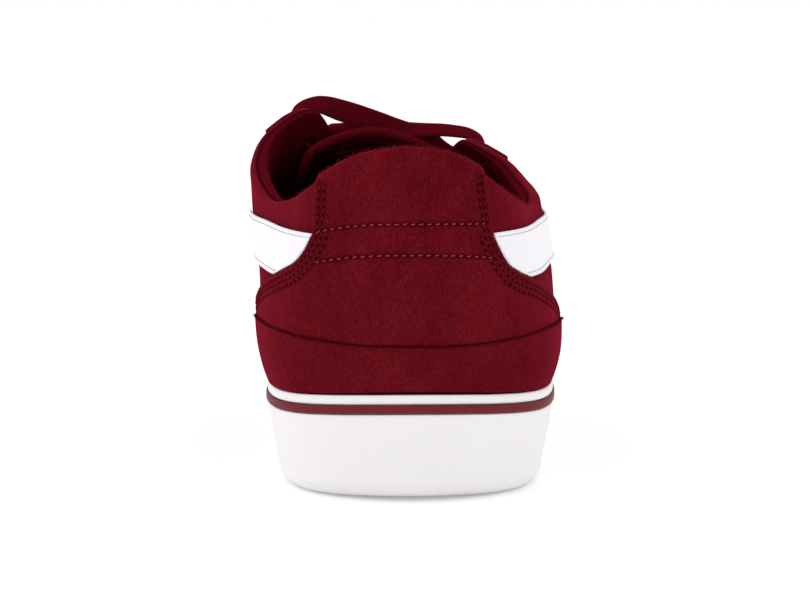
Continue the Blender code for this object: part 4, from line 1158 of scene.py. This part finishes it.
# the tongue
tongueSizes = {
    "topRows": [(-0.838, 0.830), (-0.715, 0.950), (-0.300, 1.012), (0.110, 0.975), (0.510, 0.858)],
    # shadeBelow and shadeOver: the height under which the binding gets painted shade, and how far it fades in
    "shadeBelow": 0.0930,
    "shadeOver": 0.0110,
    "topThin": 0.42,
    "topForward": 0.342,
    "footForward": 0.668,
    "clearance": 0.0018,
    "drop": 0.0025,
    "spread": 0.013,
    "footDrop": 0.0058,
    "dip": 0.0022,
    "curl": (0.85, 0.55, 0.20),
    "padding": 0.0055,
    "edge": 0.0024,
    "binding": 0.0034,
    "bindingSwell": 0.0005,
    "bindingRound": 0.0012,
    "bindingTuck": 0.0006,
    "footThin": 0.55,
    "pileTurn": (0.15, 0.35),
    "topEnd": [(1.0, 0.12), (0.65, 0.10), (0.2, 0.04)],
}


def tongueRow(station):
    points = []
    for side in (-1, 1):
        s = side * station
        far = wayFromRim(s, tongueSizes["spread"])
        wing = skinPoint(s, far) - normalPoint(s, far) * (wallAt(s, far) + tongueSizes["clearance"])
        edge = skinPoint(s, 0.985) - normalPoint(s, 0.95) * (wallAt(s, 1.0) + tongueSizes["clearance"])
        points.append((wing, edge))
    (leftWing, leftEdge), (rightWing, rightEdge) = points
    centre = (leftEdge + rightEdge) / 2 - [0, 0, tongueSizes["drop"]]
    return np.array([leftWing, leftEdge, centre, rightEdge, rightWing])


topForward = tongueSizes["topForward"] * form["soleLength"]
topRows = tongueSizes["topRows"]
tongueTop = np.array([[side * form["heelHalf"], topForward, up * form["backHeight"]] for side, up in topRows])
firstRow, lastRow = stayCorner + 0.35, throatEnd - 0.15
tongueRows = [tongueRow(s) for s in np.linspace(firstRow, lastRow, 7)]
for number, share in enumerate(tongueSizes["curl"]):
    edge = tongueRows[number].copy()
    edge[:, 0] = tongueTop[:, 0]
    edge[:, 2] = np.minimum(edge[:, 2], tongueTop[:, 2] - tongueSizes["dip"] * (number + 1))
    tongueRows[number] = tongueRows[number] * (1 - share) + edge * share
footAhead = (tongueSizes["footForward"] - forwardAt(lastRow)) * form["soleLength"]
foot = tongueRows[-1] + np.array([0, footAhead, -tongueSizes["footDrop"]])
tongueRows = [tongueTop, (tongueTop + tongueRows[0]) / 2] + tongueRows + [foot]


def across(points, shares):
    return curveThrough(range(len(points)), points, np.asarray(shares, float) * (len(points) - 1))


def tongueSheet(alongs, shares):
    rows = np.array(tongueRows)
    lines = np.array([curveThrough(range(len(rows)), rows[:, column], alongs) for column in range(rows.shape[1])])
    return np.array([across(lines[:, i], shares) for i in range(len(alongs))])


def padding(shares):  # thickest in the middle
    crown = 1 - np.abs(2 * shares - 1) ** 2.5
    return tongueSizes["edge"] + (tongueSizes["padding"] - tongueSizes["edge"]) * crown


def downFrom(normals):
    return normals * -np.sign(normals[..., 2:3])


def makeTongue():
    count = len(tongueRows) - 1
    alongs = np.concatenate([np.linspace(0, 0.12, 5)[:-1], np.linspace(0.12, count, 70)])
    turns = np.linspace(0, 2 * math.pi, 97)
    shares = (1 - np.cos(turns)) / 2
    sheet = tongueSheet(alongs, shares)
    ahead, sideways = np.gradient(tongueSheet(alongs, np.linspace(0, 1, 41)), axis=(0, 1))
    down = downFrom(unit(np.cross(sideways, ahead)))
    downAt = np.array([[row[int(round(share * 40))] for share in shares] for row in down])
    foot = np.where(alongs > count - 1.2, tongueSizes["footThin"], 1.0)[:, None]
    thick = tongueSizes["edge"] + (padding(shares) - tongueSizes["edge"]) * foot
    thick = thick * (tongueSizes["topThin"] + (1 - tongueSizes["topThin"]) * smooth(alongs / 1.1))[:, None]
    bulge = np.abs(np.sin(turns)) ** 0.55
    depth = np.where(np.sin(turns) >= 0, 0.5 - 0.5 * bulge, 0.5 + 0.5 * bulge)
    points = sheet + downAt * (thick * depth)[:, :, None]
    cap, onward = (points[0] + points[0][::-1]) / 2, sheet[4] - sheet[0]
    ends = [points[0] * (1 - share) + cap * share - onward * out for share, out in tongueSizes["topEnd"]]
    tail = (points[-1] + points[-1][::-1]) / 2
    bm = gridOf(np.concatenate([np.array(ends), points, tail[None]]).transpose(1, 0, 2))
    weld(bm, 0.00003)
    bmesh.ops.recalc_face_normals(bm, faces=bm.faces)
    made = finishPiece("tongue", bm, [maroonSuede, darkPile], "tongue")
    for face in made.data.polygons:
        if face.normal.y < tongueSizes["pileTurn"][0] and face.normal.z < tongueSizes["pileTurn"][1]:
            face.material_index = 1


def makeBinding():
    shares = np.linspace(0.01, 0.99, 90)
    top, behind = tongueSheet(np.array([0.0, 0.02]), shares)
    ahead = unit(behind - top)
    thick = padding(shares) * tongueSizes["topThin"]
    down = downFrom(unit(np.cross(np.gradient(top, axis=0), ahead)))
    rings, swell = [], tongueSizes["bindingSwell"]
    for angle in np.linspace(-0.5, 0.5, 15) * math.pi:
        place = top + down * (thick / 2 + (thick / 2 + swell) * math.sin(angle))[:, None]
        rings.append(place - ahead * (swell + tongueSizes["bindingRound"]) * math.cos(angle))
    low, high = rings[0] + ahead * tongueSizes["binding"], rings[-1] + ahead * tongueSizes["binding"]
    tuck = down * tongueSizes["bindingTuck"]
    rings = [low + tuck, low] + rings + [high, high - tuck]
    bm = gridOf(np.array(rings).transpose(1, 0, 2))
    bmesh.ops.recalc_face_normals(bm, faces=bm.faces)
    layer = bm.verts.layers.float.new("deep")  # painted shade where the binding runs down into the shoe at its medial end
    for vert in bm.verts:
        sunk = float(smooth((tongueSizes["shadeBelow"] - vert.co.z) / tongueSizes["shadeOver"]))
        vert[layer] = sunk if vert.co.x < 0 else 0.0
    finishPiece("tongueBinding", bm, [maroonKnit], None)


makeTongue()
makeBinding()
print("tongue made")

# the lace: flat, from eyelet to eyelet, hidden ends under the top pair
laceSizes = {
    "width": 0.0074,
    "thickness": 0.0013,
    "lift": 0.0014,
    "arch": 0.0014,
    "edgeLift": 0.0024,
    "start": 0.16,
    "overhang": 0.0045,
    "holeWidth": 0.0036,
    "step": 0.0007,
    "barInside": 0.0028,
    "clear": 0.00075,
    "crossed": 0.0003,
    "holeBack": 0.0006,
    "holeDepths": (0.0005, 0.0038),
    "onEyelet": 0.0008,
}
laceAbove = 0.0028  # over the upper's skin


def ribbon(name, route, number):
    places, ways, widths = (np.array(values) for values in zip(*route))
    knots = runAlong(places)
    at = np.linspace(0, knots[-1], int(knots[-1] / laceSizes["step"]))
    line, ups = curveThrough(knots, places, at), curveThrough(knots, ways, at)
    width = through(knots, widths)(at)
    along = unit(np.gradient(line, axis=0))
    side = unit(np.cross(along, ups))
    up = np.cross(side, along)
    profile = []
    for angle in np.linspace(0, 2 * math.pi, 21):
        x, z = math.cos(angle), math.sin(angle)
        profile.append((np.sign(x) * abs(x) ** 0.6, np.sign(z) * abs(z) ** 0.75))
    thick = laceSizes["thickness"] * (1 + 0.6 * (1 - width / laceSizes["width"]))
    rings = [line + side * (width / 2 * x)[:, None] + up * (thick / 2 * z)[:, None] for x, z in profile]
    points = np.array(rings).transpose(1, 0, 2)
    weave = np.zeros((*points.shape[:2], 2))
    weave[:, :, 0] = at[:, None]
    weave[:, :, 1] = (width[:, None] / 2) * np.array([x for x, _ in profile])[None]
    first, last = (np.repeat(end[None, None], points.shape[1], 1) for end in (line[0], line[-1]))
    points = np.concatenate([first, points, last])
    weave = np.concatenate([weave[:1], weave, weave[-1:]])
    bm = gridOf(points, weave)
    weld(bm)
    bmesh.ops.recalc_face_normals(bm, faces=bm.faces)
    node = "lace_bar" if number == 0 else f"lace_cross_{number}"
    finishPiece(name, bm, [maroonLace], node)


def holeRoute(side, number):
    _, _, s, way = next(one for one in eyelets if one[:2] == (side, number))
    out, place = normalPoint(s, way), skinPoint(s, way)
    back = unit(place - skinPoint(s, way + 0.02))
    sink, hole = back * laceSizes["holeBack"], laceSizes["holeWidth"]
    top = place + out * (laceAbove - 0.0002) - sink * 1.5
    inside = [(place + sink - out * depth, back, hole) for depth in laceSizes["holeDepths"]]
    return [(top, out + back * 0.3, hole * 1.3)] + inside


# the loose top crossing: side, forward and up shares, then how far its face turns to the heel and outwards
topCrossing = {
    -1: [
        (0.440, 0.430, 0.862, 20, 0),
        (0.330, 0.416, 0.884, 35, 0),
        (0.170, 0.406, 0.908, 50, 0),
        (-0.075, 0.401, 0.938, 66, 0),
        (-0.260, 0.400, 0.963, 78, 0),
        (-0.460, 0.401, 0.989, 74, 0),
        (-0.700, 0.405, 1.010, 42, 5),
        (-0.860, 0.410, 0.982, 25, 55),
        (-0.880, 0.413, 0.942, 10, 85),
    ],
    1: [
        (-0.600, 0.432, 0.934, 20, 0),
        (-0.500, 0.421, 0.935, 25, 0),
        (-0.330, 0.412, 0.936, 34, 0),
        (-0.075, 0.407, 0.933, 38, 0),
        (0.150, 0.406, 0.931, 32, 0),
        (0.400, 0.406, 0.927, 28, 5),
        (0.560, 0.408, 0.914, 25, 25),
        (0.640, 0.411, 0.893, 15, 65),
        (0.650, 0.413, 0.868, 10, 80),
    ],
}


def loopRoute(side):
    route = []
    for across, forward, up, tilt, lean in topCrossing[side]:
        tilt, lean = math.radians(tilt), math.copysign(math.radians(lean), across)
        place = np.array([across * form["heelHalf"], forward * form["soleLength"], up * heights["instep"]])
        facing = np.array([math.sin(lean), -math.sin(tilt) * math.cos(lean), math.cos(tilt) * math.cos(lean)])
        route.append((place, facing, laceSizes["width"]))
    return route


def strandRoute(side, number):
    near, far = abs(eyelet(side, number)[0]), abs(eyelet(-side, number - 1)[0])
    full, clear = laceSizes["width"], laceSizes["clear"] + laceSizes["lift"]
    up = unit(normalPoint(near, 1.0) + normalPoint(-near, 1.0))
    tongueAt = lambda station, share: across(tongueRow(station), [share])[0]
    under = tongueAt(0.2 * near + 0.8 * far, 0.5 - 0.36 * side) + up * (clear * 0.45)
    start = tongueAt(0.4 * near + 0.6 * far, 0.5 - laceSizes["start"] * side) + up * clear
    centre = tongueAt((near + far) / 2, 0.5) + up * (clear + laceSizes["arch"] + laceSizes["crossed"] * side)
    edgeStation = side * (0.85 * near + 0.15 * far)
    if number == eyeletSizes["pairs"] - 1:
        out = normalPoint(*eyelet(side, number))
        land = skinPoint(*eyelet(side, number), laceAbove + 0.0006)
        above = (land + out * laceSizes["onEyelet"], out, full * 0.75)
        return loopRoute(side) + [above] + holeRoute(side, number)[1:]
    edge = skinPoint(edgeStation, 0.97, laceAbove + laceSizes["edgeLift"])
    inside = edge + unit(centre - edge) * laceSizes["overhang"]
    inside[2] = edge[2]
    rim = normalPoint(edgeStation, 0.97)
    holeEnd = holeRoute(side, number)
    land = skinPoint(*eyelet(side, number), laceAbove + 0.0003)
    over = (land * 0.55 + edge * 0.45) + normalPoint(side * near, 0.9) * laceSizes["onEyelet"]
    onTongue = [(under, up, full * 0.8), (start, up, full), (centre, up, full)]
    return onTongue + [(inside, unit(up + rim), full), (edge, rim, full), (over, rim, full * 0.8)] + holeEnd


ends = []
for side in (-1, 1):
    s, _ = eyelet(side, 0)
    near = wayFromRim(s, eyeletSizes["lowest"] * eyeletSizes["inset"] - laceSizes["barInside"])
    end = skinPoint(s, near, laceAbove + laceSizes["lift"])
    ends.append((end, normalPoint(s, 0.95), laceSizes["width"] * 0.9))
left, right = ends
barMiddle = (left[0] + right[0]) / 2 + [0, 0, laceSizes["lift"]]
crossing = [left, (barMiddle, unit(left[1] + right[1]), laceSizes["width"]), right]
ribbon("laceBar", holeRoute(-1, 0)[::-1] + crossing + holeRoute(1, 0), 0)
for number in range(1, eyeletSizes["pairs"]):
    for side, word in ((-1, "Medial"), (1, "Lateral")):
        ribbon(f"lace{word}{number}", strandRoute(side, number), number)
print("laces made")


# stitching: thread between needle holes, with a flat dark disc of painted shade in each hole
def stitchPath(threads, holeShades, line, sizes):
    places, outs = line
    run = runAlong(places)
    at = lambda distance, values: alongRun(distance, run, values)
    for distance in np.arange(sizes["pitch"] / 2, run[-1], sizes["pitch"]):
        point, out = at(distance, places), unit(at(distance, outs))
        along = unit(at(distance + 0.0006, places) - at(distance - 0.0006, places))
        along = unit(along + np.cross(out, along) * sizes["slant"])
        turn = Matrix((np.cross(along, out), along, out)).transposed().to_4x4()
        turn.translation = Vector(point - middle + out * sizes["rise"])
        scale = Matrix.Diagonal((sizes["radius"], sizes["length"] / 2, sizes["radius"], 1))
        bmesh.ops.create_icosphere(threads, subdivisions=1, radius=1.0, matrix=turn @ scale)
        wobble = 1 + 0.35 * noise.noise(Vector(point) * 900)
        # a flat dark disc of painted shade in the needle hole
        turn.translation = Vector(at(distance + sizes["pitch"] / 2, places) - middle)
        scale = Matrix.Diagonal((sizes["hole"] * wobble, sizes["hole"] * 1.25, holeShadeFlatness, 1))
        bmesh.ops.create_icosphere(holeShades, subdivisions=1, radius=1.0, matrix=turn @ scale)


def stitchPieces(name, lines, style, material, holeShadeMaterial):
    threads, holeShades = bmesh.new(), bmesh.new()
    for line in lines:
        stitchPath(threads, holeShades, line, stitchSizes[style])
    finishPiece(name + "Stitches", threads, [material], None)
    finishPiece(name + "HoleShades", holeShades, [holeShadeMaterial], None)


stitchPieces("tab", seams["tab"], "sunk", darkThread, needleHoleShade)
stitchPieces("row", seams["row"], "plain", redThread, needleHoleShade)
stitchPieces("stay", seams[-1] + seams[1], "sunk", darkThread, needleHoleShade)
bandLines = []
for side in (-1, 1):
    for edge in (-1, 1):
        height = bandSizes["height"] + edge * (bandSizes["width"] / 2 - seamSizes["band"])
        start = bandStart(side, height) + 0.06
        path = [(side * s, wayAtHeight(side * s, height)) for s in dense(start, bandSizes["end"] - 0.08, 0.12)]
        bandLines.append(seamLine(path, bandLift))
stitchPieces("band", bandLines, "flat", greyThread, greyHoleShade)
print("stitches made")

# loose fibres along the cut suede edges
fibreSizes = {
    "radius": 0.000045,
    "tip": 0.25,
    "shortest": 0.0004,
    "longest": 0.0010,
    "spacing": 0.00016,
    "spread": 0.00035,
    "unruly": 0.45,
    "outside": 0.35,
    "collarTurn": 0.12,
    "collarEnd": 4.2,
    "wingEnd": 3.4,
    "seamEnd": 3.9,
}


def fibres(name, edges, material):
    random.seed(7)
    whole = bmesh.new()
    for places, directions, density in edges:
        batch = bmesh.new()
        run = runAlong(places)
        for distance in np.arange(0, run[-1], fibreSizes["spacing"] / density):
            point = Vector(alongRun(distance, run, places)) - Vector(middle)
            point += Vector([random.uniform(-1, 1) for _ in range(3)]) * fibreSizes["spread"]
            lean = Vector(alongRun(distance, run, directions)).normalized()
            lean = (lean + Vector([random.gauss(0, fibreSizes["unruly"]) for _ in range(3)])).normalized()
            length = random.uniform(fibreSizes["shortest"], fibreSizes["longest"])
            turn = lean.to_track_quat("Z", "Y").to_matrix().to_4x4()
            turn = Matrix.Translation(point + lean * length * fibreSizes["outside"]) @ turn
            ends = {"radius1": fibreSizes["radius"], "radius2": fibreSizes["radius"] * fibreSizes["tip"]}
            bmesh.ops.create_cone(batch, cap_ends=True, segments=3, depth=length, matrix=turn, **ends)
        pour(batch, whole)
    finishPiece(name, whole, [material], None)


def rimEdge(first, last, turn, lift, upwards):
    run = dense(first, last, 0.03)
    places = np.array([rimRoll(s, [turn], lift)[0] for s in run])
    outs = np.array([normalPoint(s, 1.0) for s in run])
    return places, outs * (1 - upwards) + np.array([0, 0, upwards])


def skinEdge(stations, wayOf, lift, downwards):
    places = np.array([skinPoint(s, wayOf(s), lift) for s in stations])
    outs = np.array([normalPoint(s, wayOf(s)) for s in stations])
    return places, outs * (1 - downwards) - np.array([0, 0, downwards])


# each edge has its places, its directions and how thickly the fibres stand
edges = [(*rimEdge(-tabEdge, tabEdge, counterSizes["overRim"], tabLift, 0.6), 1.0)]
for span in ((-fibreSizes["collarEnd"], -tabEdge), (tabEdge, fibreSizes["collarEnd"])):
    edges.append((*rimEdge(*span, fibreSizes["collarTurn"], 0.0, 0.5), 0.7))
for side in (-1, 1):
    corner = wayAtHeight(side * tabEdge, wingHeight[side](tabEdge))
    ways = np.linspace(1.0, corner, 30)
    places = np.array([skinPoint(side * tabEdge, w, tabLift) for w in ways])
    outs = np.array([normalPoint(side * tabEdge, w) for w in ways])
    edges.append((places, outs + np.array([side, 0, 0]) * 0.8, 0.6))
    edges.append((*skinEdge(side * dense(tabEdge, fibreSizes["wingEnd"], 0.06), wingWay, tabLift, -0.4), 0.5))
fibres("edgeFibres", edges, paleFibre)
seamRun = dense(-fibreSizes["seamEnd"], fibreSizes["seamEnd"], 0.03)
seamEdges = [(*skinEdge(seamRun, lambda s: seamWay(s) + seamGap(s), tabLift, 0.75), 2.4)]
seamEdges.append((*skinEdge(seamRun, seamWay, foxingSizes["gap"] + foxingSizes["wall"], -0.55), 1.6))
fibres("seamFibres", seamEdges, maroonSuede)
print("fibres made")

# floor, lights and camera
bm = bmesh.new()
bmesh.ops.create_grid(bm, x_segments=2, y_segments=2, size=25.0)
mesh = bpy.data.meshes.new("floor")
bm.to_mesh(mesh)
bm.free()
floor = bpy.data.objects.new("floor", mesh)
bpy.context.scene.collection.objects.link(floor)
paleFloor = Paint("paleFloor")
paleFloor.set(colour=(0.90, 0.90, 0.90), roughness=0.9, glow=(1.0, 1.0, 1.0), glowStrength=0.14)
mesh.materials.append(paleFloor.material)

world = bpy.data.worlds.new("studio")
bpy.context.scene.world = world
world.use_nodes = True
world.node_tree.nodes["Background"].inputs["Color"].default_value = (1, 1, 1, 1)
world.node_tree.nodes["Background"].inputs["Strength"].default_value = 1.0


def softLight(name, place, size, power):
    lamp = bpy.data.lights.new(name, "AREA")
    lamp.shape = "RECTANGLE"
    lamp.size, lamp.size_y = size
    lamp.energy = power
    made = bpy.data.objects.new(name, lamp)
    made.location = place
    made.rotation_euler = (Vector((0, 0, 0.05)) - Vector(place)).to_track_quat("-Z", "Y").to_euler()
    bpy.context.scene.collection.objects.link(made)


# place, size and power
lights = {
    "keyLight": ((-1.1, -0.25, 0.8), (0.9, 0.9), 3.4),
    "fillLight": ((1.0, -0.3, 0.8), (0.9, 0.9), 1.5),
    "topLight": ((0.0, 0.2, 1.4), (1.2, 1.2), 2.0),
}
for name, settings in lights.items():
    softLight(name, *settings)

view = {"distance": 0.55, "aside": 0.0023, "turn": -1.5, "pitch": 7.9, "height": 0.136, "lens": 90.2}
camera = bpy.data.cameras.new("camera")
camera.sensor_width, camera.lens = 36, view["lens"]
cameraObject = bpy.data.objects.new("camera", camera)
a, p = math.radians(view["turn"]), math.radians(view["pitch"])
aside, behind = view["distance"] * math.sin(a) - view["aside"], -view["distance"] * math.cos(a)
cameraObject.location = (aside - middle[0], behind - middle[1], view["height"])
direction = Vector((-math.sin(a) * math.cos(p), math.cos(a) * math.cos(p), -math.sin(p)))
cameraObject.rotation_euler = direction.to_track_quat("-Z", "Y").to_euler()
bpy.context.scene.collection.objects.link(cameraObject)
bpy.context.scene.camera = cameraObject
bpy.context.scene.view_settings.view_transform = "Standard"

print("scene ready")
